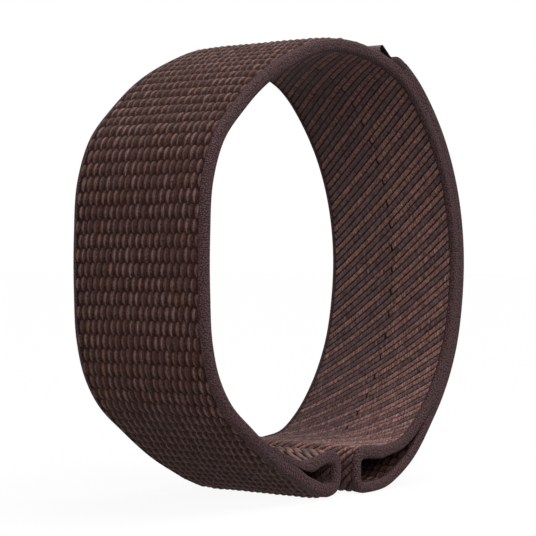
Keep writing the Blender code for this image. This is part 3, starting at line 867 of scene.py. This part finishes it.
def line_mesh():
    """The strap's line as edges, with the height of the pile's and the cords' feet."""
    data = bpy.data.meshes.new("strap_line")
    points = [(x, 0.0, z) for x, z in line_points]
    data.from_pydata(points, [(i, i + 1) for i in range(len(points) - 1)], [])
    halves = [half_thickness(s) for s in line_places]
    feet = {
        "pile": [half + pile_rise(s) - BAR_HEIGHT for half, s in zip(halves, line_places)],
        "outer_cords": [half - STITCH_HEIGHT for half in halves],
        "inner_cords": [STITCH_HEIGHT - half for half in halves],
        "hooks": [half - HOOK_HEIGHT for half in halves],
        "tack": halves,
    }
    for name, values in feet.items():
        data.attributes.new(name, "FLOAT", "POINT").data.foreach_set("value", values)
        moved = line_points + line_normals * np.array(values)[:, None]
        stretch = np.linalg.norm(np.gradient(moved, line_places, axis=0), axis=1)
        stretched = data.attributes.new(f"{name}_stretch", "FLOAT", "POINT")
        stretched.data.foreach_set("value", np.clip(stretch, *STRETCH_LIMITS).astype(np.float32))
    return placed("strap_line", data)


strap_line = line_mesh()
print("the line carries", sorted(item.name for item in strap_line.data.attributes))

# %% [markdown]
# One bar of the pile is a leaning arch of filaments, one stitch of a cord is a plied bead, and
# one hook is a strip that curls over. Each could be modelled by hand, but a formula over a
# small grid keeps its faces few, and that matters for something that is repeated so often. Bars
# and stitches go a little way into the ground, so that no gap shows under them.

# %% One bar, one stitch and one hook
BAR_WIDTH = 0.00138
BAR_LENGTH = 0.00196
BAR_NARROWING = 0.62
STITCH_LENGTH = 0.00064
STITCH_WIDTH = 0.00106
STITCH_LEAN = 0.55
HOOK_WIDTH = 0.00012
HOOK_CURL_SHARE = 0.45  # of the hook's height
FOOT_SHARE = 0.3  # how deep a bar or stitch goes into the ground, as a share of its height
BAR_GRID = (10, 7)  # points across and along
STITCH_GRID = (6, 5)
HOOK_GRID = (2, 7)


def grid_shape(name, grid_size, point):
    """A small domed patch: point gives the place for two numbers that run from -1 to 1."""
    mesh = bmesh.new()
    own_map = mesh.loops.layers.uv.new("cloth")
    across, along = (np.linspace(-1, 1, count) for count in grid_size)
    grid = [[(mesh.verts.new(point(u, v)), (u, v)) for u in across] for v in along]
    for lower, upper in zip(grid, grid[1:]):
        for corners in zip(lower, lower[1:], upper[1:], upper):
            face = mesh.faces.new([vert for vert, _ in corners])
            for loop, (_, own_place) in zip(face.loops, corners):
                loop[own_map].uv = own_place
    return placed(name, smooth_mesh(name, mesh))


def bar_point(u, v):
    """A leaning arch of filaments: X runs along the strap, and one side draws in at the foot."""
    v = math.sin(v * math.pi / 2)
    lens = 0.6 + 0.4 * (1 - v * v) ** 0.5
    if u < 0:
        lens *= 1 - BAR_NARROWING * max(-v, 0.0)
    ridge = 1 - abs(u) ** 2.2
    height = (1 + FOOT_SHARE) * ridge * (1 - v * v * 0.8) - FOOT_SHARE
    return (v * BAR_LENGTH / 2, u * lens * BAR_WIDTH / 2, height * BAR_HEIGHT)


def stitch_point(u, v):
    """One plied stitch of a cord: a bead that leans like the lay of a rope."""
    v = math.sin(v * math.pi / 2)
    full = (1 - 0.35 * v * v) ** 0.5
    height = (1 + FOOT_SHARE) * max(1 - u * u, 0.0) ** 0.5 * full - FOOT_SHARE
    y = u * full * STITCH_WIDTH / 2
    return (v * STITCH_LENGTH / 2 + y * STITCH_LEAN, y, height * STITCH_HEIGHT)


def hook_point(u, v):
    """A nylon hook: a bent strip that stands up and curls over."""
    bend = math.pi * 0.75 * (v + 1) / 2
    reach = HOOK_HEIGHT * HOOK_CURL_SHARE
    x = reach * (1 - math.cos(bend))
    z = HOOK_HEIGHT * (1 - HOOK_CURL_SHARE) * min(1.0, v + 1) + reach * math.sin(bend)
    return (x, u * HOOK_WIDTH / 2, min(z, HOOK_HEIGHT))


bar_shape = grid_shape("bar_shape", BAR_GRID, bar_point)
stitch_shape = grid_shape("stitch_shape", STITCH_GRID, stitch_point)
hook_shape = grid_shape("hook_shape", HOOK_GRID, hook_point)
for shape in (bar_shape, stitch_shape, hook_shape):
    print(shape.name, "has", len(shape.data.polygons), "faces")

# %% [markdown]
# One kind of tree lays all of them. Its named inputs say how far apart the rows and the copies
# in a row are, how much a row leans, which way a copy is turned and on which side it stands. A
# tree for each weave could be shorter, but the same steps would stand in all of them. Only the
# colours differ. The pile's bars take a colour by chance. The lining's cords follow the weave's
# order of three: pink, then pink on the near half and grey on the far half, then grey.

# %% Inputs and colours of the laying tree
CORD_CHANGE_GAP = 0.0002  # half the gap in the middle where the second cord changes colour
SIZE_CHANCE = (0.94, 1.06)
HEIGHT_CHANCE = (0.85, 1.0)
SINK_START_SHARE = 0.75  # of the web's half width: further out, the bars sink to the edge
TREE_INPUTS = (
    ("Line", "NodeSocketObject"), ("Shape", "NodeSocketObject"), ("Look", "NodeSocketMaterial"),
    ("Foot", "NodeSocketString"), ("Foot stretch", "NodeSocketString"), ("Side", "NodeSocketFloat"),
    ("First row", "NodeSocketFloat"), ("Row pitch", "NodeSocketFloat"), ("Rows", "NodeSocketInt"),
    ("Copies", "NodeSocketInt"), ("Copy pitch", "NodeSocketFloat"), ("Lean", "NodeSocketFloat"),
    ("Turn", "NodeSocketFloat"), ("From", "NodeSocketFloat"), ("To", "NodeSocketFloat"),
    ("Shift", "NodeSocketFloat"), ("Stagger", "NodeSocketFloat"), ("Sink", "NodeSocketFloat"),
    ("Seed", "NodeSocketInt"),
)


def by_chance(graph, seed, low, high):
    """A random number for each copy."""
    values = {"Min": low, "Max": high, "Seed": seed}
    return graph.node("FunctionNodeRandomValue", {"data_type": "FLOAT"}, values, "Value")


def pile_colours(graph, row, y, seed):
    """Warm or grey by chance, and each bar its own tone. No bar is left out."""
    warm = by_chance(graph, seed + 3, 0.0, 1.0).smooth(0.50, 1.05)
    return by_chance(graph, seed + 4, 0.0, 1.0), warm, 1.0


def cord_colours(graph, row, y, seed):
    """The weave's order of three. The second cord changes colour at a small gap half-way."""
    kind = row.maths("FLOORED_MODULO", 3.0)
    not_first = kind.maths("GREATER_THAN", 0.5)
    third = kind.maths("GREATER_THAN", 1.5)
    far_half = y.maths("GREATER_THAN", 0.0)
    second = not_first - third
    warm = 1.0 - third - second * far_half
    gap = second * y.maths("ABSOLUTE").maths("LESS_THAN", CORD_CHANGE_GAP)
    tone = by_chance(graph, seed + 4, 0.0, 1.0)
    return tone, warm * (0.85 + tone * 0.15), 1.0 - gap


# %% The steps of the laying tree
def copy_places(graph, asked, seed):
    """Each copy's row, its place across the strap and its distance along the line."""
    index = graph.node("GeometryNodeInputIndex") + 0.5
    copies = asked("Copies")
    row = (index / copies).maths("FLOOR")
    copy = index - row * copies
    every_other = row.maths("FLOORED_MODULO", 2.0) - 0.5
    y = (copy - copies * 0.5 + every_other * asked("Stagger")) * asked("Copy pitch")
    y = y + by_chance(graph, seed, -1.0, 1.0) * asked("Shift")
    s = asked("First row") + (row + 0.5) * asked("Row pitch") + y * asked("Lean")
    s = s + by_chance(graph, seed + 1, -1.0, 1.0) * asked("Shift")
    return row, y, s


def read_line(graph, asked, s):
    """The height of the foot and the stretch that the line holds at a distance along it."""
    line_object = graph.node("GeometryNodeObjectInfo", None, {"Object": asked("Line")}, "Geometry")
    curve = graph.node("GeometryNodeMeshToCurve", None, {"Mesh": line_object})
    read = []
    for label in ("Foot", "Foot stretch"):
        value = {"Name": asked(label)}
        named = graph.node("GeometryNodeInputNamedAttribute", {"data_type": "FLOAT"}, value)
        values = {"Curves": curve, "Value": named, "Length": s}
        read.append(graph.node("GeometryNodeSampleCurve", {"mode": "LENGTH"}, values, "Value"))
    return read


def stood_up(graph, asked, foot, y):
    """Where a copy's foot is and how the copy is turned."""
    way = foot.also("Tangent")
    outwards = graph.vectors("CROSS_PRODUCT", way, (0.0, 1.0, 0.0))
    sink_start = WEB_HALF_WIDTH * SINK_START_SHARE
    sunk = asked("Sink") * y.maths("ABSOLUTE").smooth(sink_start, WEB_HALF_WIDTH)
    raised = graph.vectors("ADD", foot.also("Position"), graph.scaled(outwards, foot - sunk))
    place = graph.vectors("ADD", raised, graph.vector(0.0, y, 0.0))
    up = graph.scaled(outwards, asked("Side"))
    along = graph.vectors("ADD", way, graph.vector(0.0, asked("Turn"), 0.0))
    axes = {"Primary Axis": up, "Secondary Axis": along}
    settings = {"primary_axis": "Z", "secondary_axis": "X"}
    return place, graph.node("FunctionNodeAxesToRotation", settings, axes)


def marked_points(graph, asked, place, marks):
    """One point for each copy, with the numbers that its look reads."""
    points = {"Count": asked("Copies") * asked("Rows"), "Position": place}
    cloud = graph.node("GeometryNodePoints", None, points)
    for label, value in marks.items():
        values = {"Geometry": cloud, "Name": label, "Value": value}
        cloud = graph.node("GeometryNodeStoreNamedAttribute", {"data_type": "FLOAT"}, values)
    return cloud


# %% The tree that lays bars, stitches and hooks
def laying_tree(name, colours):
    """Lays copies of a shape on the strap, row after row."""
    tree = bpy.data.node_groups.new(name, "GeometryNodeTree")
    for label, kind in TREE_INPUTS:
        tree.interface.new_socket(label, in_out="INPUT", socket_type=kind)
    tree.interface.new_socket("Geometry", in_out="OUTPUT", socket_type="NodeSocketGeometry")
    graph = Graph(tree)
    asked = graph.node("NodeGroupInput").also
    seed = asked("Seed")
    row, y, s = copy_places(graph, asked, seed)
    foot, stretch = read_line(graph, asked, s)
    place, rotation = stood_up(graph, asked, foot, y)
    tone, warm, kept = colours(graph, row, y, seed)
    inside = s.maths("GREATER_THAN", asked("From")) - s.maths("GREATER_THAN", asked("To"))
    size = by_chance(graph, seed + 2, *SIZE_CHANCE)
    scale = graph.vector(stretch * size, size, by_chance(graph, seed + 5, *HEIGHT_CHANCE))
    cloud = marked_points(graph, asked, place, {"tone": tone, "warm": warm})
    shape = graph.node("GeometryNodeObjectInfo", None, {"Object": asked("Shape")}, "Geometry")
    values = {"Points": cloud, "Selection": inside * kept, "Instance": shape}
    values.update({"Rotation": rotation, "Scale": scale})
    instances = graph.node("GeometryNodeInstanceOnPoints", None, values)
    values = {"Geometry": graph.node("GeometryNodeRealizeInstances", None, {"Geometry": instances})}
    values["Material"] = asked("Look")
    dressed = graph.node("GeometryNodeSetMaterial", None, values)
    graph.node("NodeGroupOutput", None, {"Geometry": dressed}, None)
    return tree


pile_tree = laying_tree("lay_by_chance", pile_colours)
cord_tree = laying_tree("lay_cords", cord_colours)
print("nodes in a tree:", len(cord_tree.nodes))

# %% [markdown]
# To run a tree, it goes on an empty object as a modifier, and the result is kept as a plain mesh.
# The modifier could stay live, but the bends of the strap are tied to the points of a mesh. The
# pile stands in staggered columns across the strap, and its rows are the ladder that the eye
# sees. The cords cross the lining at a slant, so each row of their stitches leans.

# %% Laying copies on one section
COLUMNS = 19
CORD_PITCH = 0.00115
CORD_SLOPE = 1.22
CORD_STITCH_PITCH = 0.00048
TOP_CORD_PITCH = 0.00125
SMALL_SHIFT = 0.00005
PLAIN_LAYING = {
    "Line": strap_line, "Side": 1.0, "Lean": 0.0, "Turn": 0.0, "Shift": SMALL_SHIFT,
    "Stagger": 0.0, "Sink": 0.0,
}


def laid(name, tree, wanted):
    """Runs a tree with the wanted inputs, and keeps the result as a plain mesh."""
    holder = placed(f"{name}_holder", bpy.data.meshes.new(f"{name}_holder"))
    modifier = holder.modifiers.new("laid", "NODES")
    modifier.node_group = tree
    inputs = {**PLAIN_LAYING, "Foot stretch": f"{wanted['Foot']}_stretch", **wanted}
    for item in tree.interface.items_tree:
        if item.in_out == "INPUT":
            modifier[item.identifier] = inputs[item.name]
    graph = bpy.context.evaluated_depsgraph_get()
    data = bpy.data.meshes.new_from_object(holder.evaluated_get(graph), depsgraph=graph)
    holder.modifiers.remove(modifier)
    bpy.data.objects.remove(holder)
    data.name = name
    data.shade_smooth()
    data.calc_loop_triangles()
    print(name, "triangles", len(data.loop_triangles))
    return placed(name, data)


def bars(name, start, end):
    """The pile's bars between two places."""
    wanted = {
        "Shape": bar_shape, "Look": looks["bars"], "Foot": "pile", "First row": BARE_LENGTH,
        "Row pitch": ROW_PITCH, "Rows": int((LENGTH - BARE_LENGTH) / ROW_PITCH),
        "Copies": COLUMNS, "Copy pitch": 2 * WEB_HALF_WIDTH / COLUMNS, "Stagger": 0.5,
        "From": start, "To": end, "Sink": EDGE_SINK, "Seed": 11,
    }
    return laid(name, pile_tree, wanted)


def cords(name, start, end, foot="inner_cords", side=-1.0, pitch=CORD_PITCH, look="cords"):
    """The diagonal cords between two places. Each is a chain of stitches."""
    across = 2 * WEB_HALF_WIDTH
    reach = across / CORD_SLOPE / 2
    step = CORD_STITCH_PITCH * CORD_SLOPE / math.hypot(1.0, CORD_SLOPE)
    copies = round(across / step)
    wanted = {
        "Shape": stitch_shape, "Look": looks[look], "Foot": foot, "Side": side,
        "First row": -reach, "Row pitch": pitch, "Rows": int((LENGTH + 2 * reach) / pitch),
        "Copies": copies, "Copy pitch": across / copies, "Lean": 1 / CORD_SLOPE,
        "Turn": CORD_SLOPE, "From": start, "To": end, "Shift": SMALL_SHIFT / 3, "Seed": 23,
    }
    return laid(name, cord_tree, wanted)


# %% [markdown]
# Every length of the strap that holds one bend is a section. The real strap has no cuts there,
# so they mustn't show: both sides of a cut move together, and a cloth that crosses a bend turns
# with it over a short stretch. Pieces could turn stiffly about the model's hinges instead, but
# then they would tear open on the outside of a bend and run into each other on the inside.

# %% The sections of the strap
FLEX_LENGTH = 0.0160
PEEL_LENGTH = 0.0080


def around(place):
    """The stretch over which the arm or the crown bends."""
    return place - FLEX_LENGTH / 2, place + FLEX_LENGTH / 2


def onwards(place):
    """The stretch over which the tail peels off."""
    return place, place + PEEL_LENGTH


def carried(piece, moves, bend, nodes):
    """Ties a piece to the bodies it moves with, and hides the model's parts that it stands for."""
    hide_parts(*nodes)
    if bend is None:
        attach(piece, moves[0])
        return
    (x0, z0), (x1, z1) = at(bend[0]), at(bend[1])
    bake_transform(piece, *moves, start=(x0, 0.0, z0), end=(x1, 0.0, z1))


SECTIONS = (
    ("left_arm", ("left_arm", "shoulder"), around(ARM_BEND)),
    ("shoulder", ("shoulder", "band"), around(CROWN_BEND)),
    ("band", ("band",), None),
    ("tail_root", ("band", "tail_root"), onwards(ROOT_BEND)),
    ("tail", ("tail_root", "tail"), onwards(PEEL_BEND)),
)
bends = (ARM_BEND, CROWN_BEND, RIGHT_WALL, ROOT_BEND, PEEL_BEND)
cuts = [0.0, *((a + b) / 2 for a, b in zip(bends, bends[1:])), TIP_START]
print("cuts at", [round(cut, 4) for cut in cuts])
print("bends at", [round(bend, 4) for bend in bends])
print("the tail ends over", round(PRESS_START, 4))

# %% Dress every section
for (name, moves, bend), start, end in zip(SECTIONS, cuts, cuts[1:]):
    places = evenly(start, end)
    ground = swept(f"{name}_ground", places, ground_profile, looks["ground"])
    carried(ground, moves, bend, [f"{name}_pile", f"{name}_lining"])
    pile_start, pile_end = max(start, BARE_LENGTH), min(end, HOOK_START)
    pile_bars = bars(f"{name}_bars", pile_start, pile_end)
    carried(pile_bars, moves, bend, [f"{name}_pile"])
    lining_cords = cords(f"{name}_cords", start, end)
    carried(lining_cords, moves, bend, [f"{name}_lining"])
    for side, side_name in ((-1, "near"), (1, "far")):
        edge = swept(f"{name}_{side_name}_edge", places, edge_profile(side), looks["edge"])
        carried(edge, moves, bend, [f"{name}_{side_name}_selvedge"])
for name, start, end, pitch, look in (
    ("fold_top_cords", 0.0, TOP_CORDS_END, TOP_CORD_PITCH, "top_cords"),
    ("left_wall_cords", TOP_CORDS_END, BARE_LENGTH, CORD_PITCH, "cords"),
):
    bare = cords(name, start, end, "outer_cords", 1.0, pitch, look)
    carried(bare, ("left_arm",), None, ["left_arm_pile"])

# %% [markdown]
# Under the end of the tail the pile gives way to hook tape: a nylon strip with rows of small
# bent hooks, which grip the pile of the band. It is hidden while the strap is closed. A texture
# would do for that, but the hooks show when the tail peels off, so the tree lays real ones.

# %% The hook tape
HOOK_PITCH = 0.00055


def hook_base(s):
    """The strip that the hooks stand on."""
    high, width = half_thickness(s) - HOOK_HEIGHT, WEB_HALF_WIDTH - CLEARANCE
    return [(0.0, -width), (0.0, width), (high, width), (high, -width)]


def hook_rows():
    """Rows of hooks over the whole tape."""
    across = 2 * (WEB_HALF_WIDTH - CLEARANCE)
    wanted = {
        "Shape": hook_shape, "Look": looks["hooks"], "Foot": "hooks", "First row": HOOK_START,
        "Row pitch": HOOK_PITCH, "Rows": int(HOOK_TAPE_LENGTH / HOOK_PITCH),
        "Copies": int(across / HOOK_PITCH), "Copy pitch": HOOK_PITCH, "Stagger": 0.5,
        "From": HOOK_START, "To": TIP_START, "Seed": 31,
    }
    return laid("hooks", pile_tree, wanted)


base = swept("hook_base", evenly(HOOK_START, TIP_START), hook_base, looks["hooks"])
carried(base, ("tail",), None, ["hook_tape"])
carried(hook_rows(), ("tail",), None, ["hook_tape"])

# %% [markdown]
# The tail's own tip is pressed flat. It lies on the band, and its outer face falls in a curve to
# the crown. A box with a bevel would be too even for that, so it is swept like the edges, with
# sections that stand closer together towards the nose, where the curve is steepest.

# %% The tail's tip
TIP_STATIONS = 16
TIP_NOSE = 0.00015
TIP_CORNER_POINTS = 6


def tip_profile(s):
    """The pressed tip: it lies on the band, and its outer face falls to a round nose."""
    share = min(max((s - TIP_START) / TAIL_TIP_LENGTH, 0.0), 1.0)
    fall = (1 - share**3) ** 0.5
    high = PRESSED_THICKNESS / 2 + EDGE_REACH
    low = high - TIP_NOSE - (PRESSED_THICKNESS - TAPER / 2 + EDGE_REACH - TIP_NOSE) * fall
    radius = PRESSED_THICKNESS / 2 * EDGE_ROUND_SHARE * fall
    points = [(high, -STRAP_WIDTH / 2), (high, STRAP_WIDTH / 2)]
    for side, first in ((1, 0), (-1, 90)):
        for angle in np.radians(first + np.linspace(0, 90, TIP_CORNER_POINTS)):
            y = side * (STRAP_WIDTH / 2 - radius) + radius * math.cos(angle)
            points.append((low + radius * (1 - math.sin(angle)), y))
    return points


shares = np.sin(np.linspace(0, math.pi / 2, TIP_STATIONS))
tip = swept("tip", list(TIP_START + TAIL_TIP_LENGTH * shares), tip_profile, looks["edge"])
carried(tip, ("tail",), None, ["tail_tip"])
print("faces of the tip:", len(tip.data.polygons))

# %% [markdown]
# The pull tab is a folded tape that is sewn into the tip. The fold makes it hollow: from the
# side it is a small dark tube, whose closed ends and inner faces are painted nearly black as the
# shade inside. A flat tape could be bent by a modifier, but on so small a piece
# it is simpler to draw the folded outline and carry it across the strap. Its root stays inside
# the tip and moves with it, and the rest turns when the tab is lifted.

# %% The pull tab
TAB_LENGTH = 0.0028
TAB_HEIGHT = 0.00110
TAB_TAPE_THICKNESS = 0.00012
TAB_SIDE_MARGIN = 0.0006
TAB_ROOT = 0.0008
TAB_TURN_LENGTH = 0.0004
TAB_STEPS = 16  # along each run of the outline
TAB_SLICES = 24  # across the strap


def tab_outline():
    """The folded tape seen from the side: points (reach, height), outside and then inside."""
    fold, small = TAB_HEIGHT / 2, TAB_HEIGHT / 2 - TAB_TAPE_THICKNESS
    reach = TAB_LENGTH - fold
    angles = np.radians(np.linspace(-90, 90, TAB_STEPS))
    runs = np.linspace(0.0, reach, TAB_STEPS)[:-1]
    closing = TAB_TAPE_THICKNESS * 2 + CLEARANCE
    outer = [(-TAB_ROOT, 0.0)]
    outer += [(x, 0.0) for x in runs]
    outer += [(reach + fold * math.cos(a), fold + fold * math.sin(a)) for a in angles]
    outer += [(0.0, closing), (-TAB_ROOT, closing)]
    inner = [(x, closing - TAB_TAPE_THICKNESS) for x in (-TAB_ROOT, 0.0)]
    inner += [(reach + small * math.cos(a), fold + small * math.sin(a)) for a in angles[::-1]]
    inner += [(x, TAB_TAPE_THICKNESS) for x in runs[::-1]]
    inner.append((-TAB_ROOT, TAB_TAPE_THICKNESS))
    return outer, inner


def tab_piece():
    """The tab from side to side, and the two places between which it starts to turn."""
    along = np.array(at(LENGTH)) - np.array(at(LENGTH - TAIL_TIP_LENGTH / 4))
    along /= np.linalg.norm(along)
    up = np.array((along[1], -along[0]))
    half_tip = TAIL_TIP_THICKNESS / 2
    root = np.array(at(LENGTH, PRESSED_THICKNESS / 2 - half_tip)) + along * CLEARANCE
    outer, inner = tab_outline()
    outline = [root + along * reach + up * (height - half_tip) for reach, height in outer + inner]
    half = STRAP_WIDTH / 2 - TAB_SIDE_MARGIN
    mesh = bmesh.new()
    seam_map = mesh.loops.layers.uv.new("cloth")
    sides = list(np.linspace(-half, half, TAB_SLICES))
    skin(mesh, [[(x, y, z) for x, z in outline] for y in sides], sides, seam_map)
    bmesh.ops.recalc_face_normals(mesh, faces=mesh.faces)
    tab = mesh_piece("tab", mesh, looks["tab"])
    # the second look is painted shade, for the hollow's inner faces and the tab's two closed ends
    tab.data.materials.append(looks["tab_hollow_shade"])
    for face in tab.data.polygons:
        side = face.index % len(outline)
        cut = face.index >= len(outline) * (len(sides) - 1)
        face.material_index = int(cut or side >= len(outer))
    free = root + along * TAB_TURN_LENGTH
    return tab, (root[0], 0.0, root[1]), (free[0], 0.0, free[1])


tab, held, turning = tab_piece()
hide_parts("pull_tab")
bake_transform(tab, "tail", "pull_tab", start=held, end=turning)
print("the tab turns from", [round(v, 5) for v in held], "to", [round(v, 5) for v in turning])

# %% [markdown]
# The bar tack is two rows of close stitches over the end of the fold-back, which sew it down on
# the arm. They could be modelled one by one, but the tree that lays the pile does it with other
# inputs. After it, the line and the small shapes have done their work and are removed.

# %% The bar tack
TACK_FROM_END = 0.0016
TACK_LENGTH = 0.0012
TACK_STITCH_PITCH = 0.00036
TACK_TURN = 0.25
TACK_ROWS = 2


def tack_piece():
    """Two rows of close stitches over the fold-back's end."""
    across = 2 * (WEB_HALF_WIDTH - CLEARANCE)
    wanted = {
        "Shape": stitch_shape, "Look": looks["cords"], "Foot": "tack",
        "First row": TACK_FROM_END, "Row pitch": TACK_LENGTH / TACK_ROWS, "Rows": TACK_ROWS,
        "Copies": int(across / TACK_STITCH_PITCH), "Copy pitch": TACK_STITCH_PITCH,
        "Turn": TACK_TURN, "From": 0.0, "To": FOLD_LENGTH, "Shift": SMALL_SHIFT / 2, "Seed": 47,
    }
    return laid("tack_stitches", pile_tree, wanted)


carried(tack_piece(), ("left_arm",), None, ["fold_tack"])
for helper in (strap_line, bar_shape, stitch_shape, hook_shape):
    bpy.data.objects.remove(helper)

# %% [markdown]
# The strap stands on a plain white floor in soft studio light: a large lamp overhead, a weaker
# one beside the camera, and an even sky. A white floor could be made by strong light, but that
# would bleach the strap. Here the camera sees the floor nearly white by itself, and the floor
# still takes the strap's shadow.

# %% The floor and the sky
FLOOR_DROP = 0.00005
FLOOR_HALF = 3.0
FLOOR_GREY = (0.18, 0.18, 0.18, 1)
FLOOR_WHITE = (0.95, 0.95, 0.95, 1)
FLOOR_GLOW_SHARE = 0.93  # what the camera sees of the floor as plain white
SKY_LIGHT = 0.25
SKY_SEEN = 1.0


def seen_share(graph):
    """1 for what the camera sees, also by a reflection or through glass, and 0 for the light."""
    path = graph.node("ShaderNodeLightPath")
    seen = path.also("Is Camera Ray") + path.also("Is Glossy Ray") + path.also("Is Transmission Ray")
    return seen.maths("MINIMUM", 1.0)


def floor_look():
    """White to the camera and to glossy rays, with a share of real light for the shadow."""
    material = bpy.data.materials.new("floor")
    graph = emptied(material)
    seen = seen_share(graph)
    color = graph.mixed(seen, FLOOR_GREY, FLOOR_WHITE)
    shaded = graph.node("ShaderNodeBsdfDiffuse", None, {"Color": color})
    white = graph.node("ShaderNodeEmission", None, {"Color": (1, 1, 1, 1), "Strength": 1.0})
    values = {0: seen * FLOOR_GLOW_SHARE, 1: shaded, 2: white}
    surface = graph.node("ShaderNodeMixShader", None, values)
    graph.node("ShaderNodeOutputMaterial", None, {"Surface": surface}, None)
    return material


def make_floor():
    """A wide plane just under the strap, which belongs to the stage and not to the strap."""
    mesh = bmesh.new()
    bmesh.ops.create_grid(mesh, x_segments=4, y_segments=4, size=FLOOR_HALF)
    bmesh.ops.translate(mesh, vec=(0.0, 0.0, -FLOOR_DROP), verts=mesh.verts)
    mesh_piece("floor", mesh, floor_look())


def make_sky():
    """An even sky that lights the strap weakly and looks white."""
    world = bpy.data.worlds.new("studio")
    graph = emptied(world)
    strength = SKY_LIGHT + seen_share(graph) * (SKY_SEEN - SKY_LIGHT)
    sky = graph.node("ShaderNodeBackground", None, {"Color": (1, 1, 1, 1), "Strength": strength})
    graph.node("ShaderNodeOutputWorld", None, {"Surface": sky}, None)
    scene.world = world


make_floor()
make_sky()
print("floor at", -FLOOR_DROP, "sky light", SKY_LIGHT)

# %% [markdown]
# The overhead lamp is a sun with a wide angle, which gives soft shadows of the same kind all
# over. An area lamp could stand there too, but its light would fall off towards the foot. The
# camera is placed by two angles and a distance, since those are what a photograph gives away:
# it looks from the side and almost level, from a quarter of a metre, through a long lens.

# %% The lamps and the camera
OVERHEAD_PLACE = (0.12, -0.12, 0.45)
OVERHEAD_ANGLE = math.radians(45)
OVERHEAD_POWER = 2.3
BESIDE_PLACE = (-0.32, -0.28, 0.24)
BESIDE_SIZE = 0.25
BESIDE_POWER = 1.0
CAMERA_AZIMUTH = math.radians(-51.74)
CAMERA_ELEVATION = math.radians(0.33)
CAMERA_DISTANCE = 0.259
CAMERA_LENS = 124.7
CAMERA_NEAR = 0.01
TARGET = Vector((-0.002944, 0.0, 0.03135))


def aimed(thing, place, way):
    """Puts a lamp or the camera in its place, looking along a way."""
    thing.location = place
    thing.rotation_euler = way.to_track_quat("-Z", "Y").to_euler()
    return thing


def make_lamp(name, kind, place, size, power):
    """A lamp that points at the strap. Its size is an angle for a sun and metres for an area."""
    data = bpy.data.lights.new(name, kind)
    setattr(data, "angle" if kind == "SUN" else "size", size)
    data.energy = power
    aimed(placed(name, data), place, TARGET - Vector(place))


def make_camera():
    """The camera, turned round the strap by its two angles."""
    a, e = CAMERA_AZIMUTH, CAMERA_ELEVATION
    outwards = Vector((math.sin(a) * math.cos(e), -math.cos(a) * math.cos(e), math.sin(e)))
    data = bpy.data.cameras.new("camera")
    data.lens = CAMERA_LENS
    data.clip_start = CAMERA_NEAR
    scene.camera = aimed(placed("camera", data), TARGET + outwards * CAMERA_DISTANCE, -outwards)
    print("camera at", [round(v, 4) for v in scene.camera.location])


make_lamp("overhead", "SUN", OVERHEAD_PLACE, OVERHEAD_ANGLE, OVERHEAD_POWER)
make_lamp("beside_camera", "AREA", BESIDE_PLACE, BESIDE_SIZE, BESIDE_POWER)
make_camera()
scene.view_settings.view_transform = "Standard"
